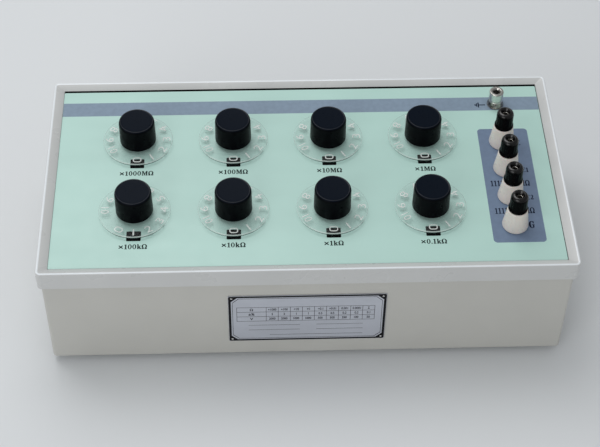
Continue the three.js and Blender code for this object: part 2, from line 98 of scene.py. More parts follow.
class MetalSettings(bpy.types.PropertyGroup):
    """Sizes and colours of the case, the top frame and the feet."""
    frame_corner: size("Frame corner", 4.5, "Outer corner radius of the top frame, seen from above")
    frame_edge: size("Frame edge", 1.4, "Radius of the rounded upper edge of the top frame")
    # The pale band beside the frame's upper edge is a painted highlight; these give its width and fall
    rubbed_width: size("Rubbed width", 0.9, "Width of the rubbed line beside the frame's upper edge")
    rubbed_drop: size("Rubbed drop", 0.4, "Fall of the rubbed line towards the lip")
    frame_wall: size("Frame wall", 2.7, "Thickness of the frame's skirt")
    lip_width: size("Lip width", 9.0, "Width of the frame's sloping lip")
    lip_edge: size("Lip edge", 1.8, "Height of the lip's inner edge")
    lip_lift: size("Lip lift", 0.8, "How far the lip's inner edge stands above the face")
    back_gap: size("Back gap", 1.3, "How much wider the gap behind the face is than the other gaps")
    left_reach: size("Left reach", 0.45, "How much further the lip reaches in on the left")
    case_corner: size("Case corner", 3.0, "Outer corner radius of the case, seen from above")
    case_bend: size("Case bend", 1.2, "Radius of the bend between the walls and the bottom")
    case_sheet: size("Case sheet", 1.5, "Thickness of the case's sheet")
    case_flange: size("Case flange", 14.0, "Width of the flange that carries the board")
    case_colour: colour("Case paint", "C3C2BC", "Powder coat of the case")
    frame_colour: colour("Frame paint", "CBCCCB", "Powder coat of the top frame")
    rubber_colour: colour("Rubber", "1C1B1B", "Rubber of the feet")


class PrintSettings(bpy.types.PropertyGroup):
    """Sizes and colours of the prints on the panel."""
    ink: size("Ink height", 0.06, "Height of the ink above the face")
    band_front: size("Band front", 73.8, "Front edge of the blue band, from the middle of the panel")
    band_back: size("Band back", 90.6, "Back edge of the blue band, from the middle of the panel")
    field_width: size("Field width", 44.7, "Width of the terminals' blue field")
    field_depth: size("Field depth", 134.2, "Depth of the terminals' blue field")
    field_corner: size("Field corner", 3.5, "Corner radius of the terminals' field")
    field_shift: size("Field shift", 2.35, "From the terminals' axis to the middle of their field")
    field_middle: size("Field middle", -17.3, "Middle of the field, from the middle of the panel")
    window_width: size("Window width", 12.2, "Width of a reading window")
    window_depth: size("Window depth", 10.8, "Depth of a reading window")
    window_corner: size("Window corner", 0.9, "Corner radius of a reading window")
    window_reach: size("Window reach", 26.4, "From a knob's axis to the middle of its window")
    label_reach: size("Label reach", 38.0, "From a knob's axis to the middle of its label")
    label_height: size("Label height", 5.2, "Height of the capitals of a label")
    face_colour: colour("Face", "B6D9D0", "Mint enamel of the face")
    band_colour: colour("Band", "8093A6", "Slate blue of the band")
    field_colour: colour("Field", "6A7D97", "Slate blue of the terminals' field")
    ink_colour: colour("Ink", "0A1C1C", "Green black of the labels")
    mark_colour: colour("Marks", "0E1930", "Navy of the terminals' marks")


class SelectorSettings(bpy.types.PropertyGroup):
    """Sizes and colours of the knobs and dials."""
    knob_base: size("Knob base", 15.9, "Radius of a knob at its foot")
    knob_top: size("Knob top", 15.6, "Radius of a knob under its shoulder")
    knob_shoulder: size("Knob shoulder", 2.3, "Height of the rounded shoulder under a knob's top")
    knob_land: size("Knob land", 14.3, "Radius of the rim round a knob's top")
    dish_depth: size("Dish depth", 0.3, "Depth of the dish in a knob's top")
    dial_bevel: size("Dial bevel", 0.7, "Width of the polished bevel round a dial")
    numeral_height: size("Numeral height", 7.0, "Height of a dial's numerals")
    numeral_stroke: size("Numeral stroke", 1.0, "Stroke of a dial's nought")
    # The dark outline round each numeral is a painted shadow of the engraved wall
    numeral_cut: size("Numeral cut", 0.15, "How far the engraved wall reaches round a numeral")
    numeral_reach: size("Numeral reach", 25.1, "From a dial's axis to the middle of a numeral")
    knob_colour: colour("Knob", "07080B", "Black phenolic moulding")
    numeral_colour: colour("Numerals", "F2F9F5", "White paint in the engraved numerals")


class PlateSettings(bpy.types.PropertyGroup):
    """Sizes and colours of the rating plate."""
    extra_width: size("Extra width", 2.0, "How much wider the sheet is than the CAD plate")
    ink: size("Ink height", 0.05, "Height of the print above the sheet")
    border_side: size("Border side", 2.3, "Width of the black border at the sides")
    border_top: size("Border top", 2.1, "Width of the black border above and below")
    border_cut: size("Border cut", 5.2, "Cut of the border's inner corners")
    line_gap: size("Line gap", 1.1, "From the border to the thin line inside it")
    line_width: size("Line width", 0.35, "Width of the thin line inside the border")
    table_side: size("Table side", 7.1, "From the sheet's left edge to the table")
    table_drop: size("Table drop", 15.2, "From the sheet's upper edge to the table")
    head_width: size("Head width", 25.0, "Width of the table's first column")
    column_width: size("Column width", 10.25, "Width of the table's other columns")
    row_height: size("Row height", 6.2, "Height of the table's rows")
    rule_width: size("Rule width", 0.36, "Width of the table's lines")
    figure_height: size("Figure height", 3.0, "Height of the table's figures")
    unit_height: size("Unit height", 3.2, "Height of the units in the first column")
    sheet_colour: colour("Sheet", "D0D3DC", "Anodised aluminium of the sheet")
    border_colour: colour("Border", "101015", "Black of the border")
    print_colour: colour("Print", "2C2E38", "Grey of the table and its figures")


class TerminalSettings(bpy.types.PropertyGroup):
    """Sizes and colours of the terminals."""
    flutes: bpy.props.IntProperty(name="Flutes", description="Flutes round a cap", default=16, min=3)
    flute_depth: size("Flute depth", 0.22, "Depth of a cap's flutes")
    thread_pitch: size("Thread pitch", 1.0, "Pitch of the stud's thread")
    thread_depth: size("Thread depth", 0.35, "Depth of the stud's thread")
    cream_colour: colour("Insulator", "E8DFD8", "Ivory urea moulding")
    cap_colour: colour("Cap", "060607", "Black phenolic of the caps")
    nickel_colour: colour("Nickel", "DCD9D2", "Bright nickel plate")


class EarthSettings(bpy.types.PropertyGroup):
    """Sizes and colours of the earth terminal."""
    collar_radius: size("Collar radius", 7.5, "Radius of the collar that stands on the face")
    # The collar's foot is drawn with dark clouds up to this height
    dark_collar: size("Dark collar", 4.0, "How far up the collar is tarnished")
    # The stud's dark end is painted shade in the hollow of the thumb nut
    dark_end: size("Dark end", 1.5, "Height of the tarnished end of the stud")
    nickel_colour: colour("Nickel", "E4E2DC", "Satin nickel plate")
    # Colour of the collar's foot, mixed with dark clouds
    collar_colour: colour("Collar", "D6CCC4", "Tarnished foot of the collar")
    end_colour: colour("Stud end", "24221F", "Tarnished end of the stud")


class StageSettings(bpy.types.PropertyGroup):
    """Floor, lamps and background."""
    floor_colour: colour("Floor", "DDE0E2", "Plain pale floor")
    top_lamp: bpy.props.FloatProperty(
        name="Top lamp", description="Power of the soft box overhead", default=14.0, unit="POWER")
    front_lamp: bpy.props.FloatProperty(
        name="Front lamp", description="Power of the soft box in front", default=8.5, unit="POWER")
    room_light: bpy.props.FloatProperty(
        name="Room light", description="Strength of the light from all round", default=0.5)
    room_gloss: bpy.props.FloatProperty(
        name="Room gloss", description="Strength of the room as gloss and metal see it", default=0.2)


def add(tree, kind, inputs=None, **settings):
    """Adds a node: inputs maps its sockets to plain values or to the sockets that feed them."""
    node = tree.nodes.new(kind)
    for key, value in settings.items():
        setattr(node, key, value)
    for key, value in (inputs or {}).items():
        if isinstance(value, bpy.types.NodeSocket):
            tree.links.new(value, node.inputs[key])
        else:
            node.inputs[key].default_value = value
    return node


def per(millimetres):
    """Texture scale whose pattern repeats about once in that many millimetres."""
    return 1 / (millimetres * MM)


def start_material(name, base, roughness, metallic=0.0, ior=None, own_axis=False):
    """A material with a Principled shader; own_axis reads the place that a turned piece had on its axis."""
    material = bpy.data.materials.new(name)
    material.use_nodes = True
    material.diffuse_color = base
    tree = material.node_tree
    shader = tree.nodes["Principled BSDF"]
    shader.inputs["Base Color"].default_value = base
    shader.inputs["Roughness"].default_value = roughness
    shader.inputs["Metallic"].default_value = metallic
    if ior:
        shader.inputs["IOR"].default_value = ior
    if own_axis:
        place = add(tree, "ShaderNodeAttribute", attribute_name="own_place").outputs["Vector"]
    else:
        place = add(tree, "ShaderNodeTexCoord").outputs["Object"]
    return material, tree, shader, place


def tinted(base, factor):
    """A colour made lighter or darker by a factor."""
    return (*[min(1.0, c * factor) for c in base[:3]], 1.0)


def vary(tree, shader, socket, pattern, low, high):
    """Feeds a socket from a pattern, spread between a low and a high value."""
    spread = add(tree, "ShaderNodeMapRange", {"Value": pattern, "From Min": 0.3, "From Max": 0.7,
                                              "To Min": low, "To Max": high})
    tree.links.new(spread.outputs[0], shader.inputs[socket])


def mottle(tree, shader, pattern, first, second):
    """Feeds the base colour from two near colours, mixed by a pattern."""
    spread = add(tree, "ShaderNodeMapRange", {"Value": pattern, "From Min": 0.3, "From Max": 0.7})
    mixed = add(tree, "ShaderNodeMix", {0: spread.outputs[0], 6: first, 7: second}, data_type="RGBA")
    tree.links.new(mixed.outputs[2], shader.inputs["Base Color"])
    return mixed


def relief(tree, shader, pattern, height, strength, under=None):
    """Feeds the shader's normal from a pattern that stands that many millimetres high."""
    inputs = {"Height": pattern, "Distance": height * MM, "Strength": strength}
    if under:
        inputs["Normal"] = under
    bump = add(tree, "ShaderNodeBump", inputs)
    tree.links.new(bump.outputs[0], shader.inputs["Normal"])
    return bump.outputs[0]


def noise(tree, place, grain, detail=2.0, roughness=0.5):
    """A soft cloud pattern with a grain of that many millimetres."""
    node = add(tree, "ShaderNodeTexNoise", {"Vector": place, "Scale": per(grain),
                                            "Detail": detail, "Roughness": roughness})
    return node.outputs[0]


def powder_coat(name, base, gloss):
    """Stoved powder coat on folded steel: satin, with orange peel about 1.4 mm across."""
    material, tree, shader, place = start_material(name, base, gloss, ior=1.5)
    mottle(tree, shader, noise(tree, place, grain=55), tinted(base, 0.975), tinted(base, 1.02))
    vary(tree, shader, "Roughness", noise(tree, place, grain=20), gloss - 0.04, gloss + 0.04)
    peel = relief(tree, shader, noise(tree, place, grain=1.4), height=0.04, strength=0.3)
    relief(tree, shader, noise(tree, place, grain=16), height=0.05, strength=0.1, under=peel)
    return material


def screen_enamel(name, base):
    """Stoved enamel on the flat aluminium face: smoother than powder coat, even colour, faint streaks."""
    material, tree, shader, place = start_material(name, base, roughness=0.4, ior=1.5)
    stretched = add(tree, "ShaderNodeMapping", {"Vector": place, "Scale": (0.25, 1.0, 1.0)})
    streaks = noise(tree, stretched.outputs[0], grain=30)
    mottle(tree, shader, streaks, tinted(base, 0.975), tinted(base, 1.02))
    vary(tree, shader, "Roughness", noise(tree, place, grain=14, detail=4), 0.3, 0.42)
    relief(tree, shader, noise(tree, place, grain=2.2), height=0.02, strength=0.25)
    return material


def screen_ink(name, base, shine=0.5):
    """Silk-screened ink: matt, with the fine mesh of the screen, 0.5 mm here so that it shows."""
    material, tree, shader, place = start_material(name, base, roughness=0.55, ior=1.5)
    shader.inputs["Specular IOR Level"].default_value = shine
    mottle(tree, shader, noise(tree, place, grain=4, detail=3), tinted(base, 0.95), tinted(base, 1.06))
    threads = add(tree, "ShaderNodeTexVoronoi", {"Vector": place, "Scale": per(0.5), "Randomness": 0.2})
    relief(tree, shader, threads.outputs["Distance"], height=0.01, strength=0.2)
    return material


def moulded_phenolic(name, base, painted_reflection, gloss, dull, shine, shine_from, painted_reflection_from, soft=1.0):
    """Black phenolic moulding: flow clouds, wiping marks, a painted blue reflection on top, a less specular
    side.

    The specular level and the painted reflection each begin at a height in millimetres.
    """
    material, tree, shader, place = start_material(name, base, gloss, ior=1.5, own_axis=True)
    height = add(tree, "ShaderNodeSeparateXYZ", {0: place}).outputs[2]
    sheen = add(tree, "ShaderNodeMapRange", {
        "Value": height, "From Min": (shine_from - soft) * MM, "From Max": (shine_from + soft) * MM,
        "To Min": dull, "To Max": shine}).outputs[0]
    tree.links.new(sheen, shader.inputs["Specular IOR Level"])
    body = mottle(tree, shader, noise(tree, place, grain=5, detail=4), tinted(base, 0.8), tinted(base, 1.3))
    # Painted reflection: above a height the base colour turns to the blue of a reflected room
    upper = add(tree, "ShaderNodeMapRange", {
        "Value": height, "From Min": (painted_reflection_from - 0.3) * MM,
        "From Max": (painted_reflection_from + 0.3) * MM}).outputs[0]
    topped = add(tree, "ShaderNodeMix", {0: upper, 6: body.outputs[2], 7: painted_reflection}, data_type="RGBA")
    tree.links.new(topped.outputs[2], shader.inputs["Base Color"])
    wiped = noise(tree, place, grain=2.5, detail=5, roughness=0.65)
    vary(tree, shader, "Roughness", wiped, gloss, gloss + 0.16)
    ripple = relief(tree, shader, noise(tree, place, grain=0.5), height=0.01, strength=0.25)
    relief(tree, shader, noise(tree, place, grain=6), height=0.05, strength=0.15, under=ripple)
    return material


def ivory_urea(name, base):
    """Ivory urea moulding: dense, a little translucent, with flow lines that run up the cone."""
    material, tree, shader, place = start_material(name, base, roughness=0.3, ior=1.55, own_axis=True)
    shader.inputs["Subsurface Weight"].default_value = 0.06
    shader.inputs["Subsurface Scale"].default_value = 1.5 * MM
    flow = add(tree, "ShaderNodeMapping", {"Vector": place, "Scale": (1.0, 1.0, 0.3)})
    lines = noise(tree, flow.outputs[0], grain=6, detail=3)
    mottle(tree, shader, lines, tinted(base, 0.94), tinted(base, 1.03))
    vary(tree, shader, "Roughness", noise(tree, place, grain=3, detail=4), 0.24, 0.4)
    relief(tree, shader, noise(tree, place, grain=1.2), height=0.02, strength=0.3)
    return material


def turned_metal(name, base, gloss, mark, tarnish=0.9):
    """Turned and plated metal: tool marks run round the axis, with clouds of tarnish."""
    material, tree, shader, place = start_material(name, base, gloss, metallic=1.0, own_axis=True)
    parts = add(tree, "ShaderNodeSeparateXYZ", {0: place})
    level = add(tree, "ShaderNodeCombineXYZ", {0: parts.outputs[0], 1: parts.outputs[1]})
    radius = add(tree, "ShaderNodeVectorMath", {0: level.outputs[0]}, operation="LENGTH")
    rings = add(tree, "ShaderNodeCombineXYZ", {0: radius.outputs["Value"], 1: parts.outputs[2]})
    mottle(tree, shader, noise(tree, place, grain=4, detail=4), tinted(base, tarnish), tinted(base, 1.03))
    vary(tree, shader, "Roughness", noise(tree, place, grain=1.5, detail=4), gloss, gloss + 0.1)
    relief(tree, shader, noise(tree, rings.outputs[0], grain=mark), height=0.01, strength=0.3)
    return material


def satin_aluminium(name, base):
    """Etched and anodised aluminium sheet: satin, with rolling lines along the sheet."""
    material, tree, shader, place = start_material(name, base, roughness=0.45, metallic=0.75)
    rolled = add(tree, "ShaderNodeMapping", {"Vector": place, "Scale": (0.04, 1.0, 1.0)})
    mottle(tree, shader, noise(tree, place, grain=20), tinted(base, 0.96), tinted(base, 1.02))
    vary(tree, shader, "Roughness", noise(tree, rolled.outputs[0], grain=0.8, detail=4), 0.38, 0.52)
    relief(tree, shader, noise(tree, rolled.outputs[0], grain=0.4), height=0.01, strength=0.2)
    return material


def foot_rubber(name, base):
    """Moulded rubber: matt, slightly bloomed, with a fine moulded grain of 0.4 mm."""
    material, tree, shader, place = start_material(name, base, roughness=0.85, ior=1.5)
    mottle(tree, shader, noise(tree, place, grain=3, detail=4), tinted(base, 0.8), tinted(base, 1.5))
    relief(tree, shader, noise(tree, place, grain=0.4), height=0.05, strength=0.5)
    return material


def black_laminate(name, base):
    """Black phenolic paper laminate: matt sanded faces, with paper fibres along the sheet."""
    material, tree, shader, place = start_material(name, base, roughness=0.6, ior=1.55)
    fibres = add(tree, "ShaderNodeMapping", {"Vector": place, "Scale": (0.15, 1.0, 1.0)})
    paper = noise(tree, fibres.outputs[0], grain=1.5, detail=4)
    mottle(tree, shader, paper, tinted(base, 0.75), tinted(base, 1.4))
    relief(tree, shader, noise(tree, fibres.outputs[0], grain=0.8), height=0.02, strength=0.3)
    return material


def clear_acrylic(name, base):
    """Cast acrylic sheet: clear, so most of what is under it shows, with a polished sheen."""
    material, tree, shader, place = start_material(name, base, roughness=0.12, ior=1.49, own_axis=True)
    shader.inputs["Alpha"].default_value = 0.02
    vary(tree, shader, "Roughness", noise(tree, place, grain=8, detail=5), 0.08, 0.2)
    relief(tree, shader, noise(tree, place, grain=12), height=0.05, strength=0.1)
    return material


def polished_edge(name, base, front, sides):
    """Thin line of painted light on the acrylic disc's edge, strongest at the front: painted shade on the
    edge, a painted highlight on the bevel.
    """
    material, tree, shader, place = start_material(name, base, roughness=0.25, ior=1.49, own_axis=True)
    depth = add(tree, "ShaderNodeSeparateXYZ", {0: place}).outputs[1]
    front_end, side_start = -29 * MM, -14 * MM
    cover = add(tree, "ShaderNodeMapRange", {"Value": depth, "From Min": front_end, "From Max": side_start,
                                             "To Min": front, "To Max": sides})
    tree.links.new(cover.outputs[0], shader.inputs["Alpha"])
    mottle(tree, shader, noise(tree, place, grain=3), tinted(base, 0.92), base)
    return material


def filled_numeral(name, base, cover):
    """White paint wiped into the engraved numerals: thin, flat, slightly uneven."""
    material, tree, shader, place = start_material(name, base, roughness=0.5, ior=1.5, own_axis=True)
    shader.inputs["Alpha"].default_value = cover
    mottle(tree, shader, noise(tree, place, grain=1.2, detail=3), tinted(base, 0.88), base)
    relief(tree, shader, noise(tree, place, grain=0.6), height=0.02, strength=0.3)
    return material


def switch_finish(name, laminate, tag, resistor, pitch, origin):
    """Brown paper laminate wafers, tinned tags outside them and glazed resistors hanging under them."""
    material, tree, shader, place = start_material(name, laminate, roughness=0.5, ior=1.55)
    shifted = add(tree, "ShaderNodeVectorMath", {0: place, 1: origin}, operation="SUBTRACT")
    wrapped = add(tree, "ShaderNodeVectorMath", {0: shifted.outputs[0], 1: (pitch, pitch, 10.0)},
                  operation="MODULO")
    centred = add(tree, "ShaderNodeVectorMath", {0: wrapped.outputs[0], 1: (pitch / 2, pitch / 2, 0.0)},
                  operation="SUBTRACT")
    parts = add(tree, "ShaderNodeSeparateXYZ", {0: centred.outputs[0]})
    level = add(tree, "ShaderNodeCombineXYZ", {0: parts.outputs[0], 1: parts.outputs[1]})
    radius = add(tree, "ShaderNodeVectorMath", {0: level.outputs[0]}, operation="LENGTH").outputs["Value"]
    height = add(tree, "ShaderNodeSeparateXYZ", {0: place}).outputs[2]
    wafer_rim = 22.6 * MM
    wafer_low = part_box("switch_1000M")[1].z - 14.5 * MM
    outside = add(tree, "ShaderNodeMath", {0: radius, 1: wafer_rim}, operation="GREATER_THAN")
    below = add(tree, "ShaderNodeMath", {0: height, 1: wafer_low}, operation="LESS_THAN")
    tagged = add(tree, "ShaderNodeMix", {0: outside.outputs[0], 6: laminate, 7: tag}, data_type="RGBA")
    hung = add(tree, "ShaderNodeMix", {0: below.outputs[0], 6: tagged.outputs[2], 7: resistor},
               data_type="RGBA")
    tree.links.new(hung.outputs[2], shader.inputs["Base Color"])
    tree.links.new(outside.outputs[0], shader.inputs["Metallic"])
    relief(tree, shader, noise(tree, place, grain=0.8), height=0.02, strength=0.3)
    return material


def plain_floor(name, base):
    """Seamless paper: matt and even."""
    material, tree, shader, place = start_material(name, base, roughness=0.9)
    relief(tree, shader, noise(tree, place, grain=3), height=0.05, strength=0.1)
    return material


def interface(tree, sockets):
    """Gives a Geometry Nodes tree its named inputs and one geometry output."""
    for name, kind in sockets.items():
        tree.interface.new_socket(name=name, in_out="INPUT", socket_type=kind)
    tree.interface.new_socket(name="Geometry", in_out="OUTPUT", socket_type="NodeSocketGeometry")


def turned_tree():
    """Spins a row of profile points about Z and presses straight or helical grooves between two heights."""
    tree = bpy.data.node_groups.new("Turned part", "GeometryNodeTree")
    interface(tree, {
        "Geometry": "NodeSocketGeometry", "Sides": "NodeSocketInt", "Starts": "NodeSocketInt",
        "Twist": "NodeSocketFloat", "Depth": "NodeSocketFloat", "Bottom": "NodeSocketFloat",
        "Top": "NodeSocketFloat", "Fade": "NodeSocketFloat", "Sharp": "NodeSocketFloat",
        "Material": "NodeSocketMaterial"})
    given = add(tree, "NodeGroupInput").outputs
    count = add(tree, "GeometryNodeAttributeDomainSize", {0: given["Geometry"]}).outputs["Point Count"]
    around = add(tree, "FunctionNodeIntegerMath", {0: given["Sides"], 1: 1}, operation="ADD")
    grid = add(tree, "GeometryNodeMeshGrid", {"Vertices X": around.outputs[0], "Vertices Y": count})
    index = add(tree, "GeometryNodeInputIndex").outputs[0]
    along = add(tree, "FunctionNodeIntegerMath", {0: index, 1: count}, operation="MODULO").outputs[0]
    step = add(tree, "FunctionNodeIntegerMath", {0: index, 1: count}, operation="DIVIDE").outputs[0]
    profile = add(tree, "GeometryNodeSampleIndex", {
        "Geometry": given["Geometry"], "Index": along,
        "Value": add(tree, "GeometryNodeInputPosition").outputs[0]}, data_type="FLOAT_VECTOR")
    parts = add(tree, "ShaderNodeSeparateXYZ", {0: profile.outputs[0]}).outputs
    share = add(tree, "ShaderNodeMath", {0: step, 1: given["Sides"]}, operation="DIVIDE").outputs[0]
    turn = add(tree, "ShaderNodeMath", {0: share, 1: math.tau}, operation="MULTIPLY").outputs[0]
    climb = add(tree, "ShaderNodeMath", {0: parts[2], 1: given["Twist"]}, operation="MULTIPLY").outputs[0]
    starts = add(tree, "ShaderNodeMath", {0: share, 1: given["Starts"]}, operation="MULTIPLY").outputs[0]
    phase = add(tree, "ShaderNodeMath", {0: starts, 1: climb}, operation="SUBTRACT").outputs[0]
    angle = add(tree, "ShaderNodeMath", {0: phase, 1: math.tau}, operation="MULTIPLY").outputs[0]
    wave = add(tree, "ShaderNodeMath", {0: angle}, operation="COSINE").outputs[0]
    groove = add(tree, "ShaderNodeMapRange", {
        "Value": wave, "From Min": 1.0, "From Max": -1.0,
        "To Min": 0.0, "To Max": given["Depth"]}).outputs[0]
    over = add(tree, "ShaderNodeMath", {0: parts[2], 1: given["Bottom"]}, operation="SUBTRACT").outputs[0]
    under = add(tree, "ShaderNodeMath", {0: given["Top"], 1: parts[2]}, operation="SUBTRACT").outputs[0]
    inside = add(tree, "ShaderNodeMath", {0: over, 1: under}, operation="MINIMUM").outputs[0]
    zone = add(tree, "ShaderNodeMath", {0: inside, 1: given["Fade"]}, operation="DIVIDE",
               use_clamp=True).outputs[0]
    pressed = add(tree, "ShaderNodeMath", {0: groove, 1: zone}, operation="MULTIPLY").outputs[0]
    radius = add(tree, "ShaderNodeMath", {0: parts[0], 1: pressed}, operation="SUBTRACT").outputs[0]
    cosine = add(tree, "ShaderNodeMath", {0: turn}, operation="COSINE").outputs[0]
    sine = add(tree, "ShaderNodeMath", {0: turn}, operation="SINE").outputs[0]
    x = add(tree, "ShaderNodeMath", {0: radius, 1: cosine}, operation="MULTIPLY").outputs[0]
    y = add(tree, "ShaderNodeMath", {0: radius, 1: sine}, operation="MULTIPLY").outputs[0]
    spun = add(tree, "ShaderNodeCombineXYZ", {0: x, 1: y, 2: parts[2]}).outputs[0]
    placed = add(tree, "GeometryNodeSetPosition", {
        "Geometry": grid.outputs[0], "Position": spun}).outputs[0]
    closed = add(tree, "GeometryNodeMergeByDistance", {
        "Geometry": placed, "Distance": MM / 1000}).outputs[0]
    kept = add(tree, "GeometryNodeStoreNamedAttribute", {
        "Geometry": closed, "Name": "own_place",
        "Value": add(tree, "GeometryNodeInputPosition").outputs[0]}, data_type="FLOAT_VECTOR").outputs[0]
    smooth = add(tree, "GeometryNodeSetShadeSmooth", {"Geometry": kept, "Shade Smooth": True}).outputs[0]
    fold = add(tree, "GeometryNodeInputMeshEdgeAngle").outputs[0]
    sharp = add(tree, "FunctionNodeCompare", {0: fold, 1: given["Sharp"]}, operation="GREATER_THAN")
    creased = add(tree, "GeometryNodeSetShadeSmooth", {
        "Geometry": smooth, "Selection": sharp.outputs[0], "Shade Smooth": False}, domain="EDGE").outputs[0]
    real = add(tree, "GeometryNodeRealizeInstances", {0: creased}).outputs[0]
    coated = add(tree, "GeometryNodeSetMaterial", {"Geometry": real, "Material": given["Material"]})
    add(tree, "NodeGroupOutput", {0: coated.outputs[0]})
    return tree


def spread_tree():
    """Sets a copy of one piece on each given point, turned alike."""
    tree = bpy.data.node_groups.new("Spread pieces", "GeometryNodeTree")
    interface(tree, {"Geometry": "NodeSocketGeometry", "Piece": "NodeSocketObject",
                     "Tilt": "NodeSocketVector", "Material": "NodeSocketMaterial"})
    given = add(tree, "NodeGroupInput").outputs
    piece = add(tree, "GeometryNodeObjectInfo", {"Object": given["Piece"]}).outputs["Geometry"]
    tilt = add(tree, "FunctionNodeEulerToRotation", {0: given["Tilt"]}).outputs[0]
    copies = add(tree, "GeometryNodeInstanceOnPoints", {
        "Points": given["Geometry"], "Instance": piece, "Rotation": tilt}).outputs[0]
    real = add(tree, "GeometryNodeRealizeInstances", {0: copies}).outputs[0]
    coated = add(tree, "GeometryNodeSetMaterial", {"Geometry": real, "Material": given["Material"]})
    add(tree, "NodeGroupOutput", {0: coated.outputs[0]})
    return tree


def table_tree():
    """Rules a table: one wide column, then equal columns, from its upper left corner."""
    tree = bpy.data.node_groups.new("Ruled table", "GeometryNodeTree")
    interface(tree, {
        "Geometry": "NodeSocketGeometry", "Head": "NodeSocketFloat", "Column": "NodeSocketFloat",
        "Columns": "NodeSocketInt", "Row": "NodeSocketFloat", "Rows": "NodeSocketInt",
        "Line": "NodeSocketFloat", "Ink": "NodeSocketFloat", "Material": "NodeSocketMaterial"})
    given = add(tree, "NodeGroupInput").outputs
    cells = add(tree, "ShaderNodeMath", {0: given["Column"], 1: given["Columns"]}, operation="MULTIPLY")
    width = add(tree, "ShaderNodeMath", {0: cells.outputs[0], 1: given["Head"]}, operation="ADD").outputs[0]
    height = add(tree, "ShaderNodeMath", {0: given["Row"], 1: given["Rows"]},
                 operation="MULTIPLY").outputs[0]
    long_width = add(tree, "ShaderNodeMath", {0: width, 1: given["Line"]}, operation="ADD").outputs[0]
    flat = add(tree, "ShaderNodeCombineXYZ", {0: long_width, 1: given["Line"], 2: given["Ink"]}).outputs[0]
    upright = add(tree, "ShaderNodeCombineXYZ", {0: given["Line"], 1: height, 2: given["Ink"]}).outputs[0]
    half_width = add(tree, "ShaderNodeMath", {0: width, 1: 0.5}, operation="MULTIPLY").outputs[0]
    half_height = add(tree, "ShaderNodeMath", {0: height, 1: -0.5}, operation="MULTIPLY").outputs[0]
    down = add(tree, "ShaderNodeMath", {0: given["Row"], 1: -1.0}, operation="MULTIPLY").outputs[0]
    row_count = add(tree, "FunctionNodeIntegerMath", {0: given["Rows"], 1: 1}, operation="ADD").outputs[0]
    rows = add(tree, "GeometryNodeMeshLine", {
        "Count": row_count,
        "Start Location": add(tree, "ShaderNodeCombineXYZ", {0: half_width}).outputs[0],
        "Offset": add(tree, "ShaderNodeCombineXYZ", {1: down}).outputs[0]}).outputs[0]
    column_count = add(tree, "FunctionNodeIntegerMath", {0: given["Columns"], 1: 1},
                       operation="ADD").outputs[0]
    columns = add(tree, "GeometryNodeMeshLine", {
        "Count": column_count,
        "Start Location": add(tree, "ShaderNodeCombineXYZ", {0: given["Head"], 1: half_height}).outputs[0],
        "Offset": add(tree, "ShaderNodeCombineXYZ", {0: given["Column"]}).outputs[0]}).outputs[0]
    edge = add(tree, "GeometryNodeMeshLine", {
        "Count": 1,
        "Start Location": add(tree, "ShaderNodeCombineXYZ", {1: half_height}).outputs[0]}).outputs[0]
    join = add(tree, "GeometryNodeJoinGeometry")
    for points, bar in ((rows, flat), (columns, upright), (edge, upright)):
        box = add(tree, "GeometryNodeMeshCube", {"Size": bar}).outputs[0]
        copies = add(tree, "GeometryNodeInstanceOnPoints", {"Points": points, "Instance": box}).outputs[0]
        tree.links.new(copies, join.inputs[0])
    real = add(tree, "GeometryNodeRealizeInstances", {0: join.outputs[0]}).outputs[0]
    coated = add(tree, "GeometryNodeSetMaterial", {"Geometry": real, "Material": given["Material"]})
    add(tree, "NodeGroupOutput", {0: coated.outputs[0]})
    return tree


def node_tree(name):
    """A Geometry Nodes tree of this file, built when it is first asked for."""
    makers = {"Turned part": turned_tree, "Spread pieces": spread_tree, "Ruled table": table_tree}
    return bpy.data.node_groups.get(name) or makers[name]()


def loose_object(name, mesh):
    """A mesh as an object in the scene."""
    piece = bpy.data.objects.new(name, mesh)
    bpy.context.scene.collection.objects.link(piece)
    return piece


def plain_mesh(piece):
    """What an object's modifiers or text give, as a mesh; the object goes."""
    bpy.context.view_layer.update()
    mesh = bpy.data.meshes.new_from_object(piece.evaluated_get(bpy.context.evaluated_depsgraph_get()))
    bpy.data.objects.remove(piece)
    return mesh


def grown(tree_name, points, settings):
    """A plain mesh from a Geometry Nodes tree run on a row of points."""
    mesh = bpy.data.meshes.new(tree_name)
    mesh.from_pydata([tuple(point) for point in points], [], [])
    piece = loose_object(tree_name, mesh)
    tree = node_tree(tree_name)
    modifier = piece.modifiers.new(tree_name, "NODES")
    modifier.node_group = tree
    for item in tree.interface.items_tree:
        if item.in_out == "INPUT" and item.name in settings:
            modifier[item.identifier] = settings[item.name]
    result = closed_outward(plain_mesh(piece))
    result.materials.clear()
    result.materials.append(settings["Material"])
    return result


def closed_outward(mesh):
    """Merges doubles and turns every face outwards."""
    work = bmesh.new()
    work.from_mesh(mesh)
    bmesh.ops.remove_doubles(work, verts=work.verts, dist=MM / 1000)
    bmesh.ops.dissolve_degenerate(work, edges=work.edges, dist=MM / 10000)
    bmesh.ops.recalc_face_normals(work, faces=work.faces)
    work.to_mesh(mesh)
    work.free()
    return mesh


def smooth_by_angle(mesh, degrees=30):
    """Shades a mesh smooth, apart from edges that fold more than an angle."""
    work = bmesh.new()
    work.from_mesh(mesh)
    for face in work.faces:
        face.smooth = True
    for edge in work.edges:
        edge.smooth = len(edge.link_faces) != 2 or edge.calc_face_angle() < math.radians(degrees)
    work.to_mesh(mesh)
    work.free()
    return mesh


def merged(meshes, name):
    """Several meshes as one, with their materials kept."""
    work = bmesh.new()
    result = bpy.data.meshes.new(name)
    for mesh in meshes:
        for material in mesh.materials:
            if material.name not in result.materials:
                result.materials.append(material)
        first = len(work.faces)
        work.from_mesh(mesh)
        work.faces.ensure_lookup_table()
        for face in work.faces[first:]:
            face.material_index = result.materials.find(mesh.materials[face.material_index].name)
    work.to_mesh(result)
    work.free()
    return result


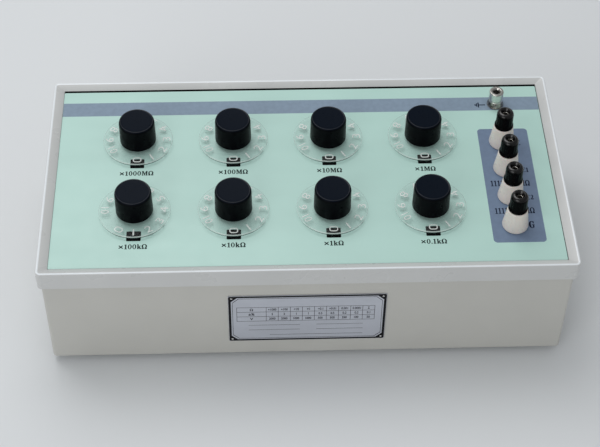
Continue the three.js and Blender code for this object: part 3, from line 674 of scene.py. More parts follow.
def eased(corners, steps=6):
    """Points of an outline from corners (x, z, easing) in millimetres; easing above 0 rounds a corner."""
    points = []
    for i, (x, z, easing) in enumerate(corners):
        here = Vector((x, 0, z))
        if not easing:
            points.append(here * MM)
            continue
        before = Vector((corners[i - 1][0], 0, corners[i - 1][1]))
        after = Vector((corners[(i + 1) % len(corners)][0], 0, corners[(i + 1) % len(corners)][1]))
        first = here + (before - here).normalized() * easing
        last = here + (after - here).normalized() * easing
        for step in range(steps + 1):
            t = step / steps
            points.append(((1 - t) ** 2 * first + 2 * t * (1 - t) * here + t ** 2 * last) * MM)
    return points


def turned(corners, material, sides=64, steps=6, sharp=32, grooves=None):
    """A turned piece on the Z axis, from profile corners (radius, height, easing) in millimetres."""
    settings = {"Sides": sides, "Starts": 1, "Twist": 0.0, "Depth": 0.0, "Bottom": 0.0, "Top": 0.0,
                "Fade": 1.0, "Sharp": math.radians(sharp), "Material": material}
    settings.update(grooves or {})
    return grown("Turned part", eased(corners, steps), settings)


def spread(piece_mesh, points, material, tilt=(0.0, 0.0, 0.0)):
    """Copies of a piece on points, as one mesh."""
    piece = loose_object("spread_piece", piece_mesh)
    result = grown("Spread pieces", points, {"Piece": piece, "Tilt": tilt, "Material": material})
    bpy.data.objects.remove(piece)
    return result


def corner_loop(width, depth, radius, z, steps=8):
    """One level line of a rounded rectangle, in metres."""
    loop = []
    for corner, (sx, sy) in enumerate(((1, 1), (-1, 1), (-1, -1), (1, -1))):
        for step in range(steps + 1):
            angle = math.pi / 2 * (corner + step / steps)
            loop.append(Vector((sx * (width / 2 - radius) + radius * math.cos(angle),
                                sy * (depth / 2 - radius) + radius * math.sin(angle), z)))
    return loop


def skinned(name, loops, ring, material):
    """A closed mesh led through a row of loops; a ring joins the last to the first."""
    work = bmesh.new()
    rows = [[work.verts.new(point) for point in loop] for loop in loops]
    spans = len(rows) if ring else len(rows) - 1
    for level in range(spans):
        low, high = rows[level], rows[(level + 1) % len(rows)]
        for i in range(len(low)):
            j = (i + 1) % len(low)
            work.faces.new((low[i], low[j], high[j], high[i]))
    if not ring:
        work.faces.new(rows[0])
        work.faces.new(rows[-1])
    mesh = bpy.data.meshes.new(name)
    work.to_mesh(mesh)
    work.free()
    mesh.materials.append(material)
    return smooth_by_angle(closed_outward(mesh))


def flat_piece(name, outline, bottom, thickness, material, hole=None):
    """A closed flat piece over an outline of level points; hole is an outline with as many points."""
    top = bottom + thickness
    levels = [(outline, bottom), (outline, top)]
    if hole:
        levels += [(hole, top), (hole, bottom)]
    loops = [[Vector((p[0], p[1], z)) for p in loop] for loop, z in levels]
    return skinned(name, loops, bool(hole), material)


def rectangle(x, y, width, depth, radius, steps=6):
    """Points of a rounded rectangle about a centre."""
    return [(point.x + x, point.y + y) for point in corner_loop(width, depth, radius, 0, steps)]


def lettering(words, height, material, thickness, width=None, bold=0.0, stretch=1.0):
    """Words as a closed mesh on the ground plane, centred, with the height of its tallest letter."""
    text = bpy.data.curves.new("lettering", "FONT")
    text.body = words
    text.extrude = 0.5
    text.offset = bold
    text.resolution_u = 6
    mesh = closed_outward(plain_mesh(loose_object("lettering", text)))
    low = [min(v.co[i] for v in mesh.vertices) for i in range(3)]
    high = [max(v.co[i] for v in mesh.vertices) for i in range(3)]
    y_scale = height / (high[1] - low[1])
    x_scale = width / (high[0] - low[0]) if width else y_scale * stretch
    centre = Matrix.Translation([-(a + b) / 2 for a, b in zip(low, high)])
    mesh.transform(Matrix.Diagonal((x_scale, y_scale, thickness, 1)) @ centre)
    mesh.materials.clear()
    mesh.materials.append(material)
    return mesh


def arc(x, y, width, height, start, end, steps):
    """Points along part of an ellipse, between two angles in degrees."""
    angles = [math.radians(start + (end - start) * step / steps) for step in range(steps + 1)]
    return [(x + width / 2 * math.cos(angle), y + height / 2 * math.sin(angle)) for angle in angles]


def cross_outline(x, y, reach, half):
    """A cross with slanting arms."""
    upright = [(half, half), (reach, half), (reach, -half), (half, -half), (half, -reach), (-half, -reach),
               (-half, -half), (-reach, -half), (-reach, half), (-half, half), (-half, reach), (half, reach)]
    return [(x + (a - b) * math.sqrt(0.5), y + (a + b) * math.sqrt(0.5)) for a, b in upright]


# Bold serif letters for a capital height of 1: the step to the next letter, the outline and the hole
SERIF = {
    "×": (0.8, cross_outline(0.29, 0.46, 0.43, 0.085), None),
    ".": (0.3, arc(0.1, 0.1, 0.21, 0.21, 0, 330, 11), None),
    "0": (0.7, arc(0.29, 0.5, 0.6, 1.02, 0, 345, 23), arc(0.29, 0.5, 0.24, 0.84, 0, 345, 23)),
    "1": (0.6, [(0.03, 0), (0.5, 0), (0.5, 0.07), (0.36, 0.1), (0.36, 1), (0.28, 1), (0.02, 0.88),
                (0.04, 0.8), (0.16, 0.83), (0.16, 0.1), (0.03, 0.07)], None),
    "2": (0.66, [(0.02, 0), (0.5, 0), (0.56, 0.26), (0.51, 0.26), (0.45, 0.17), (0.22, 0.17), (0.42, 0.4)]
          + arc(0.28, 0.73, 0.48, 0.54, -15, 175, 10)
          + [(0.09, 0.72), (0.14, 0.86), (0.23, 0.9), (0.33, 0.84), (0.34, 0.66), (0.25, 0.46),
             (0.02, 0.07)], None),
    "E": (0.78, [(0, 0), (0.66, 0), (0.69, 0.27), (0.64, 0.27), (0.58, 0.1), (0.5, 0.06), (0.27, 0.06),
                 (0.27, 0.46), (0.38, 0.46), (0.43, 0.38), (0.47, 0.38), (0.47, 0.64), (0.43, 0.64),
                 (0.38, 0.53), (0.27, 0.53), (0.27, 0.94), (0.48, 0.94), (0.58, 0.88), (0.61, 0.76),
                 (0.66, 0.76), (0.65, 1), (0, 1), (0, 0.95), (0.09, 0.92), (0.09, 0.08), (0, 0.05)], None),
    "G": (0.84, [(0.64, 0.66), (0.69, 0.66), (0.69, 1), (0.65, 1), (0.62, 0.95)]
          + arc(0.4, 0.5, 0.8, 1.04, 60, 300, 18)
          + [(0.7, 0.1), (0.7, 0.42), (0.78, 0.46), (0.78, 0.51), (0.42, 0.51), (0.42, 0.46), (0.53, 0.42),
             (0.53, 0.1)]
          + arc(0.43, 0.5, 0.34, 0.88, 285, 65, 14), None),
    "M": (1.04, [(0, 0), (0.29, 0), (0.29, 0.07), (0.2, 0.1), (0.2, 0.74), (0.41, 0), (0.49, 0),
                 (0.69, 0.7), (0.69, 0.1), (0.6, 0.07), (0.6, 0), (0.98, 0), (0.98, 0.07), (0.9, 0.1),
                 (0.9, 0.9), (0.98, 0.93), (0.98, 1), (0.69, 1), (0.5, 0.4), (0.29, 1), (0, 1),
                 (0, 0.93), (0.07, 0.9), (0.07, 0.1), (0, 0.07)], None),
    "k": (0.72, [(0, 0), (0.32, 0), (0.32, 0.07), (0.26, 0.1), (0.26, 0.26), (0.29, 0.31), (0.4, 0.1),
                 (0.36, 0.07), (0.36, 0), (0.69, 0), (0.69, 0.07), (0.63, 0.1), (0.42, 0.48), (0.53, 0.59),
                 (0.61, 0.62), (0.61, 0.69), (0.35, 0.69), (0.35, 0.62), (0.39, 0.59), (0.26, 0.44),
                 (0.26, 1), (0, 1), (0, 0.93), (0.06, 0.9), (0.06, 0.1), (0, 0.07)], None),
    "Ω": (0.88, arc(0.43, 0.56, 0.84, 0.9, -55, 235, 22)
          + [(0.19, 0.17), (0.11, 0.17), (0.08, 0.26), (0.01, 0.26), (0.03, 0), (0.38, 0), (0.38, 0.17)]
          + arc(0.43, 0.56, 0.4, 0.7, 245, -65, 18)
          + [(0.48, 0.17), (0.48, 0), (0.83, 0), (0.85, 0.26), (0.78, 0.26), (0.75, 0.17), (0.67, 0.17)],
          None),
}


def serif_lettering(words, height, material, thickness, width=None):
    """Words in bold serif letters as a closed mesh on the ground plane, centred."""
    total = sum(SERIF[letter][0] for letter in words)
    stretch = width / (total * height) if width else 1.03
    parts = []
    start = -total / 2
    for letter in words:
        step, outline, hole = SERIF[letter]
        loops = [[((x + start) * height * stretch, (y - 0.5) * height) for x, y in loop]
                 for loop in (outline, hole) if loop]
        parts.append(flat_piece("letter", loops[0], -thickness / 2, thickness, material,
                                hole=loops[1] if hole else None))
        start += step
    return merged(parts, "letters")


def moved(mesh, x=0.0, y=0.0, z=0.0, turn=0.0):
    """A copy of a mesh, turned about Z and then moved."""
    copy = mesh.copy()
    copy.transform(Matrix.Translation((x, y, z)) @ Matrix.Rotation(turn, 4, "Z"))
    return copy


def add_piece(name, mesh, body, stands_for=()):
    """A finished mesh as a piece that rides on a CAD body."""
    mesh.name = name
    piece = loose_object(name, mesh)
    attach(piece, body)
    if stands_for:
        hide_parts(*stands_for)
    return piece


def axis_of(node):
    """Middle of a CAD node seen from above, and its lowest and highest level."""
    low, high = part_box(node)
    return (low.x + high.x) / 2, (low.y + high.y) / 2, low.z, high.z


def above_foot(node, z):
    """How far a level lies above the foot of a CAD node, in millimetres."""
    return (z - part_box(node)[0].z) / MM


def height_of(node):
    """Height of a CAD node in millimetres."""
    return above_foot(node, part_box(node)[1].z)


def paint_node(node, material):
    """Gives a CAD node that stays a finished material."""
    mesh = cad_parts[node].data
    mesh.materials.clear()
    mesh.materials.append(material)


class RESBOX_OT_top_frame(bpy.types.Operator):
    """Build the top frame with its skirt, its sloping lip, a painted highlight along its upper edge and
    painted shade in the gap behind the face
    """
    bl_idname = "resbox.top_frame"
    bl_label = "Top frame"

    def execute(self, context):
        settings = context.scene.resbox_metal
        low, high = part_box("top_frame")
        width, depth = high.x - low.x, high.y - low.y
        rim, skirt = high.z, low.z
        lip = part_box("panel_face")[1].z + settings.lip_lift
        lip_under = lip - settings.lip_edge
        highlight_low = rim - settings.rubbed_drop
        hem = 0.3 * MM

        def level(inset, z, back=0.0, left=0.0):
            radius = max(settings.frame_corner - inset, LEAST_CORNER)
            loop = corner_loop(width - 2 * inset - left, depth - 2 * inset + back, radius, z, 10)
            return [point + Vector((left / 2, back / 2, 0)) for point in loop]

        # Up the outside of the skirt, round the rim, down the sloping lip and back inside the skirt
        loops = [level(hem, skirt), level(0, skirt + hem)]
        steps = 8
        for step in range(steps + 1):
            angle = math.pi / 2 * step / steps
            loops.append(level(settings.frame_edge * (1 - math.cos(angle)),
                               rim - settings.frame_edge * (1 - math.sin(angle))))
        loops.append(level(settings.frame_edge + settings.rubbed_width, highlight_low))
        uneven = (settings.back_gap, settings.left_reach)
        loops += [level(settings.lip_width - hem, lip + hem / 3, *uneven),
                  level(settings.lip_width, lip - hem, *uneven),
                  level(settings.lip_width, lip_under, *uneven),
                  level(settings.frame_wall, lip_under),
                  level(settings.frame_wall, skirt + hem),
                  level(settings.frame_wall - hem, skirt)]
        paint = powder_coat("powder_coat_light_grey", settings.frame_colour, gloss=0.3)
        rim_mesh = skinned("frame_rim", loops, True, paint)
        # A dark strip on the back lip's inner edge is painted shade that makes the wide gap at the back one
        # line, and a pale band along the rounded rim is a painted highlight
        rim_mesh.materials.append(screen_ink("painted_shade_back_gap", linear("0A0B0B"), shine=0.1))
        rim_mesh.materials.append(powder_coat("powder_coat_painted_highlight", linear("E6EBEE"), gloss=0.2))
        # The back lip's inner edge takes the painted shade, the faces along the rim the painted highlight
        for face in rim_mesh.polygons:
            if face.normal.y < -0.9 and face.center.y > 0 and lip_under < face.center.z < lip:
                face.material_index = 1
            if face.center.z > highlight_low:
                face.material_index = 2
        add_piece("frame_rim", rim_mesh, "box", ["top_frame"])
        return {"FINISHED"}


class RESBOX_OT_case(bpy.types.Operator):
    """Build the case, a folded tray with a flange round its opening"""
    bl_idname = "resbox.case"
    bl_label = "Case"

    def execute(self, context):
        settings = context.scene.resbox_metal
        low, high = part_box("case")
        width, depth = high.x - low.x, high.y - low.y
        sheet = settings.case_sheet

        def level(inset, z):
            radius = max(settings.case_corner - inset, LEAST_CORNER)
            return corner_loop(width - 2 * inset, depth - 2 * inset, radius, z, 8)

        steps = 6
        loops = []
        for step in range(steps + 1):
            angle = math.pi / 2 * step / steps
            loops.append(level(settings.case_bend * (1 - math.sin(angle)),
                               low.z + settings.case_bend * (1 - math.cos(angle))))
        loops += [level(0, high.z), level(settings.case_flange, high.z),
                  level(settings.case_flange, high.z - sheet), level(sheet, high.z - sheet),
                  level(sheet, low.z + sheet)]
        paint = powder_coat("powder_coat_warm_grey", settings.case_colour, gloss=0.45)
        add_piece("case_shell", skinned("case_shell", loops, False, paint), "box", ["case"])
        return {"FINISHED"}


class RESBOX_OT_feet(bpy.types.Operator):
    """Build the rubber feet and their screws"""
    bl_idname = "resbox.feet"
    bl_label = "Feet"

    def execute(self, context):
        rubber = foot_rubber("moulded_rubber", context.scene.resbox_metal.rubber_colour)
        zinc = turned_metal("zinc_plated_steel", linear("B9BBBD"), gloss=0.3, mark=0.2)
        top = height_of(FEET[0])
        foot = turned([(0, 3.4, 0), (3.5, 3.4, 0.3), (3.5, 0, 0.3), (7.9, 0, 0.2), (8.6, 0.7, 0.5),
                       (10, top, 0.3), (0, top, 0)], rubber, sides=48)
        screw = turned([(0, 3.3, 0), (0, 1.6, 0), (0.9, 1.6, 0.05), (0.9, 0.9, 0.05), (1.9, 1.0, 0.6),
                        (3.0, 2.0, 0.7), (3.0, 3.3, 0)], zinc, sides=32)
        points = [(*axis_of(node)[:2], 0) for node in FEET]
        add_piece("feet_rubber", spread(foot, points, rubber), "box", FEET)
        add_piece("feet_screws", spread(screw, points, zinc), "box")
        return {"FINISHED"}


class RESBOX_OT_panel(bpy.types.Operator):
    """Finish the enamelled face and the board under it"""
    bl_idname = "resbox.panel"
    bl_label = "Panel"

    def execute(self, context):
        face_colour = context.scene.resbox_print.face_colour
        paint_node("panel_face", screen_enamel("stoved_enamel_mint", face_colour))
        paint_node("panel_board", black_laminate("phenolic_laminate_black", linear("15171A")))
        return {"FINISHED"}


class RESBOX_OT_prints(bpy.types.Operator):
    """Print the band, the terminals' field, the reading windows, the labels and the marks"""
    bl_idname = "resbox.prints"
    bl_label = "Prints"

    def execute(self, context):
        settings = context.scene.resbox_print
        self.low, self.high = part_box("panel_face")
        self.top = self.high.z
        self.build_fields(settings)
        self.build_windows(settings)
        self.build_labels(settings)
        self.build_marks(settings)
        return {"FINISHED"}

    def build_fields(self, settings):
        """The blue band across the back and the blue field under the terminals."""
        band_ink = screen_ink("screen_ink_slate_light", settings.band_colour)
        field_ink = screen_ink("screen_ink_slate_dark", settings.field_colour)
        middle = (settings.band_front + settings.band_back) / 2
        margin = 0.15 * MM
        band = rectangle(0, middle, self.high.x - self.low.x - 2 * margin,
                         settings.band_back - settings.band_front, margin)
        add_piece("print_band", flat_piece("print_band", band, self.top, settings.ink, band_ink), "box")
        x = axis_of("terminal_base_2")[0] + settings.field_shift
        field = rectangle(x, settings.field_middle, settings.field_width, settings.field_depth,
                          settings.field_corner, 10)
        add_piece("print_field", flat_piece("print_field", field, self.top, settings.ink, field_ink), "box")

    def build_windows(self, settings):
        """A black window in front of each knob, under the dial."""
        black = screen_ink("screen_ink_black", linear("040607"), shine=0.06)
        parts = []
        for name in DECADES:
            x, y = axis_of(f"knob_{name}")[:2]
            outline = rectangle(x, y - settings.window_reach, settings.window_width,
                                settings.window_depth, settings.window_corner)
            parts.append(flat_piece(name, outline, self.top, settings.ink, black))
        add_piece("print_windows", merged(parts, "print_windows"), "box")

    def build_labels(self, settings):
        """The step of each decade, in front of its window."""
        ink = screen_ink("screen_ink_green_black", settings.ink_colour, shine=0.1)
        parts = []
        for name, (label, _) in DECADES.items():
            x, y = axis_of(f"knob_{name}")[:2]
            letters = serif_lettering(label, settings.label_height, ink, settings.ink)
            parts.append(moved(letters, x, y - settings.label_reach, self.top + settings.ink / 2))
        add_piece("print_labels", merged(parts, "print_labels"), "box")

    def build_marks(self, settings):
        """Letters and ranges beside the terminals, and the earth sign beside the earth terminal."""
        navy = screen_ink("screen_ink_navy", settings.mark_colour, shine=0.1)
        axis = axis_of("terminal_base_2")[0]
        on_field = self.top + settings.ink
        parts = []
        # Text, place from the terminals' axis and from the panel's middle, width and height in millimetres
        words = [("G", 14.4, -65.0, 5.4, 7.6), ("11111.111MΩ", 1.9, -48.8, 34.2, 6.6),
                 ("11111.111MΩ", 1.9, -16.8, 34.2, 6.6), ("E2", 17.0, -33.6, 7.0, 5.2),
                 ("E1", 17.0, -1.2, 6.6, 5.2), ("E", 14.6, 32.0, 5.4, 6.0)]
        for text, x, y, width, height in words:
            letters = serif_lettering(text, height * MM, navy, settings.ink, width * MM)
            parts.append(moved(letters, axis + x * MM, y * MM, on_field + settings.ink / 2))
        # Bars of the earth sign: place from the earth terminal's axis, width and depth in millimetres
        bars = [(-12.0, 6.2, 1.0), (-15.2, 1.0, 6.4), (-16.7, 1.0, 4.2), (-18.1, 1.0, 2.0)]
        earth_x, earth_y = axis_of("earth_stud")[:2]
        sign_y = earth_y - 0.8 * MM
        for x, width, depth in bars:
            outline = rectangle(earth_x + x * MM, sign_y, width * MM, depth * MM, 0.15 * MM, 2)
            parts.append(flat_piece("bar", outline, on_field, settings.ink, navy))
        add_piece("print_marks", merged(parts, "print_marks"), "box")


class RESBOX_OT_plate(bpy.types.Operator):
    """Build the rating plate with its border, ruled table, figures and rivets"""
    bl_idname = "resbox.plate"
    bl_label = "Rating plate"

    def execute(self, context):
        settings = context.scene.resbox_plate
        low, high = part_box("rating_plate")
        centre = (low + high) / 2
        self.width, self.height = high.x - low.x + settings.extra_width, high.z - low.z
        self.thickness = high.y - low.y
        self.upright = (Matrix.Translation((centre.x, high.y, centre.z))
                        @ Matrix.Rotation(math.pi / 2, 4, "X"))
        metal = satin_aluminium("anodised_aluminium", settings.sheet_colour)
        black = screen_ink("anodic_print_black", settings.border_colour, shine=0.15)
        grey = screen_ink("anodic_print_grey", settings.print_colour, shine=0.3)
        steel = turned_metal("bright_rivet_steel", linear("D8D8D6"), gloss=0.2, mark=0.15)
        sheet = rectangle(0, 0, self.width, self.height, 0.8 * MM)
        self.put("plate_sheet", flat_piece("plate_sheet", sheet, 0, self.thickness, metal), ["rating_plate"])
        self.build_border(settings, black)
        self.build_table(settings, grey)
        self.build_rivets(steel)
        return {"FINISHED"}

    def put(self, name, mesh, stands_for=()):
        """Adds a mesh that was drawn lying on the ground as a piece of the upright plate."""
        mesh.transform(self.upright)
        add_piece(name, mesh, "box", stands_for)

    def cut_corners(self, inset_x, inset_y, cut):
        """An eight-cornered outline, inset from the sheet's edges."""
        x, y = self.width / 2 - inset_x, self.height / 2 - inset_y
        return [(x, y - cut), (x - cut, y), (-x + cut, y), (-x, y - cut),
                (-x, -y + cut), (-x + cut, -y), (x - cut, -y), (x, -y + cut)]

    def build_border(self, settings, ink):
        """A black border with a thin line inside it."""
        side, top, cut = settings.border_side, settings.border_top, settings.border_cut
        edge, edge_cut = 0.2 * MM, 0.8 * MM
        outer = self.cut_corners(edge, edge, edge_cut)
        inner = self.cut_corners(side, top, cut)
        border = flat_piece("border", outer, self.thickness, settings.ink, ink, hole=inner)
        ring = [self.cut_corners(side + gap, top + gap, cut)
                for gap in (settings.line_gap, settings.line_gap + settings.line_width)]
        line = flat_piece("line", ring[0], self.thickness, settings.ink, ink, hole=ring[1])
        self.put("plate_border", merged([border, line], "plate_border"))

    def build_table(self, settings, ink):
        """The ruled table with its figures, and the empty lines under it."""
        values = [["×1000", "×100", "×10", "×1", "×0.1", "×0.01", "0.001", "0.0001", "Σ"],
                  ["5", "2", "1", "1", "0.5", "0.5", "0.2", "0.2", "0.1"],
                  ["2000", "2000", "1000", "1000", "500", "500", "250", "100", "50"]]
        units = ("Ω", "±%", "V")
        left, upper = -self.width / 2 + settings.table_side, self.height / 2 - settings.table_drop
        on_sheet = self.thickness + settings.ink / 2
        rules = grown("Ruled table", [(0, 0, 0)], {
            "Head": settings.head_width, "Column": settings.column_width, "Columns": len(values[0]),
            "Row": settings.row_height, "Rows": len(values), "Line": settings.rule_width,
            "Ink": settings.ink, "Material": ink})
        rules.transform(Matrix.Translation((left, upper, on_sheet)))
        parts = [rules]
        for i, (unit, line) in enumerate(zip(units, values)):
            y = upper - settings.row_height * (i + 0.5)
            sign = lettering(unit, settings.unit_height, ink, settings.ink, bold=0.03)
            parts.append(moved(sign, left + settings.head_width / 2, y, on_sheet))
            for j, value in enumerate(line):
                x = left + settings.head_width + settings.column_width * (j + 0.5)
                figure = lettering(value, settings.figure_height, ink, settings.ink, bold=0.025, stretch=0.7)
                parts.append(moved(figure, x, y, on_sheet))
        # Empty lines: start from the middle, drop from the upper edge and length in millimetres
        blanks = [(-50.0, 39.5, 44.0), (8.0, 39.5, 40.0), (-50.0, 46.0, 44.0), (8.0, 46.0, 40.0),
                  (-32.0, 53.0, 80.0)]
        for start, drop, length in blanks:
            outline = rectangle((start + length / 2) * MM, self.height / 2 - drop * MM, length * MM,
                                0.3 * MM, 0.05 * MM, 1)
            parts.append(flat_piece("blank", outline, self.thickness, settings.ink, ink))
        self.put("plate_table", merged(parts, "plate_table"))

    def build_rivets(self, steel):
        """A round-headed rivet in each corner."""
        rivet = turned([(0, -0.2, 0), (1.0, -0.2, 0), (1.0, 0.15, 0.1), (0.6, 0.5, 0.35), (0, 0.6, 0)],
                       steel, sides=24)
        inset = 2.9 * MM
        reach_x, reach_y = self.width / 2 - inset, self.height / 2 - inset
        points = [(sx * reach_x, sy * reach_y, self.thickness) for sx in (-1, 1) for sy in (-1, 1)]
        self.put("plate_rivets", spread(rivet, points, steel))


class RESBOX_OT_knobs(bpy.types.Operator):
    """Build the knobs"""
    bl_idname = "resbox.knobs"
    bl_label = "Knobs"

    def execute(self, context):
        settings = context.scene.resbox_selector
        # The knobs' blue-black tops are a painted reflection of a bluish room
        phenolic = moulded_phenolic("phenolic_moulding_black", settings.knob_colour, linear("0E151F"),
                                    gloss=0.24, dull=0.04, shine=0.5, shine_from=22.75, painted_reflection_from=22.2,
                                    soft=0.12)
        knob = self.knob_mesh(settings, phenolic)
        for name in DECADES:
            x, y, bottom, _ = axis_of(f"knob_{name}")
            add_piece(f"knob_shell_{name}", moved(knob, x, y, bottom), f"selector_{name}",
                      [f"knob_{name}"])
        return {"FINISHED"}

    def knob_mesh(self, settings, material):
        """A knob with a bore under it, a rounded shoulder and a shallow dish in its top."""
        height = height_of("knob_1000M")
        base, top, land = settings.knob_base / MM, settings.knob_top / MM, settings.knob_land / MM
        shoulder, depth = settings.knob_shoulder / MM, settings.dish_depth / MM
        bore, bore_depth = 3.3, 14
        return turned([
            (0, bore_depth, 0), (bore, bore_depth, 0), (bore, 0, 0.2), (base - 0.5, 0, 0.1),
            (base, 0.5, 0.3), (top, height - shoulder, 0.7), (top - 0.4, height - shoulder / 3, 0.6),
            (land, height, 0.25), (land - 0.8, height - depth, 0.5), (0, height - depth - 0.15, 0)],
            material, sides=96, steps=8, sharp=40)


class RESBOX_OT_dials(bpy.types.Operator):
    """Build the clear dials with their engraved numerals"""
    bl_idname = "resbox.dials"
    bl_label = "Dials"

    def execute(self, context):
        settings = context.scene.resbox_selector
        disc = self.disc_mesh(settings)
        numerals = self.numeral_mesh(settings)
        for name, (_, reading) in DECADES.items():
            body = f"selector_{name}"
            x, y = axis_of(f"knob_{name}")[:2]
            bottom, top = axis_of(f"dial_{name}")[2:]
            add_piece(f"dial_disc_{name}", moved(disc, x, y, bottom), body, [f"dial_{name}"])
            add_piece(f"numerals_{name}", moved(numerals, x, y, top, -STEP * reading), body)
        return {"FINISHED"}

    def disc_mesh(self, settings):
        """A clear disc whose edge and bevel carry thin lines of painted shade and painted highlight."""
        low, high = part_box("dial_1000M")
        radius, thickness = (high.x - low.x) / 2 / MM, height_of("dial_1000M")
        bore, bevel = 3.4, settings.dial_bevel / MM
        clear = clear_acrylic("cast_acrylic_clear", linear("F3F8F6"))
        disc = turned([(bore, 0, 0), (radius - 0.2, 0, 0), (radius, 0.2, 0), (radius, thickness - bevel, 0),
                       (radius - bevel, thickness, 0), (bore, thickness, 0), (bore, 0, 0)],
                      clear, sides=128)
        # The dark edge is painted shade and the pale bevel a painted highlight, both strongest at the front
        disc.materials.append(polished_edge("cast_acrylic_edge_painted_shade", linear("2B4540"), front=0.7, sides=0.1))
        disc.materials.append(polished_edge("cast_acrylic_bevel_painted_highlight", linear("D3E2DD"), front=0.7, sides=0.3))
        for face in disc.polygons:
            if abs(face.normal.z) < 0.95 and face.center.to_2d().length > radius * MM / 2:
                face.material_index = 1 if face.normal.z < 0.3 else 2
        return disc

    def numeral_mesh(self, settings):
        """All numerals of a dial, each on a painted shadow of its engraved walls."""
        paint = filled_numeral("engraving_paint_white", settings.numeral_colour, cover=0.78)
        # A larger dark copy under each numeral is a painted shadow of its engraved wall
        wall = filled_numeral("engraving_painted_shadow", linear("6F8780"), cover=0.12)
        ink = 0.06 * MM
        layers = ((paint, settings.numeral_height, ink, 0.0),
                  (wall, settings.numeral_height + 2 * settings.numeral_cut, ink / 3, 0.03))
        parts = []
        for reading in range(READINGS):
            stretch = 1.3 if reading < 10 else 0.95
            for material, height, rise, bold in layers:
                if reading:
                    figure = lettering(str(reading), height, material, rise, bold=bold, stretch=stretch)
                else:
                    figure = self.nought_mesh(height, settings.numeral_stroke, material, rise)
                figure.transform(Matrix.Translation((0, -settings.numeral_reach, rise / 2)))
                parts.append(moved(figure, turn=STEP * reading))
        numerals = merged(parts, "numerals")
        own = numerals.attributes.new("own_place", "FLOAT_VECTOR", "POINT")
        own.data.foreach_set("vector", [c for v in numerals.vertices for c in v.co])
        return numerals

    def nought_mesh(self, numeral_height, stroke, material, thickness):
        """The broad, square-shouldered nought of the dials, lower than the other numerals."""
        height = 0.82 * numeral_height
        width = 1.3 * height
        outer = rectangle(0, 0, width, height, 0.4 * height)
        inner = rectangle(0, 0, width - 2 * stroke, height - 2 * stroke, 0.2 * height)
        return flat_piece("nought", outer, -thickness / 2, thickness, material, hole=inner)


class RESBOX_OT_switches(bpy.types.Operator):
    """Finish the switches and their rotors inside the case"""
    bl_idname = "resbox.switches"
    bl_label = "Switches"

    def execute(self, context):
        steel = turned_metal("turned_steel", linear("A9ACB0"), gloss=0.3, mark=0.25)
        x, y = axis_of("switch_1000M")[:2]
        pitch = axis_of("switch_100M")[0] - x
        origin = (x - 2.5 * pitch, y - 3.5 * pitch, 0.0)
        wafers = switch_finish("phenolic_paper_wafers", linear("8A5B35"), linear("CFCFC8"),
                               linear("7C8F86"), pitch, origin)
        for name in DECADES:
            paint_node(f"rotor_{name}", steel)
            paint_node(f"switch_{name}", wafers)
        return {"FINISHED"}


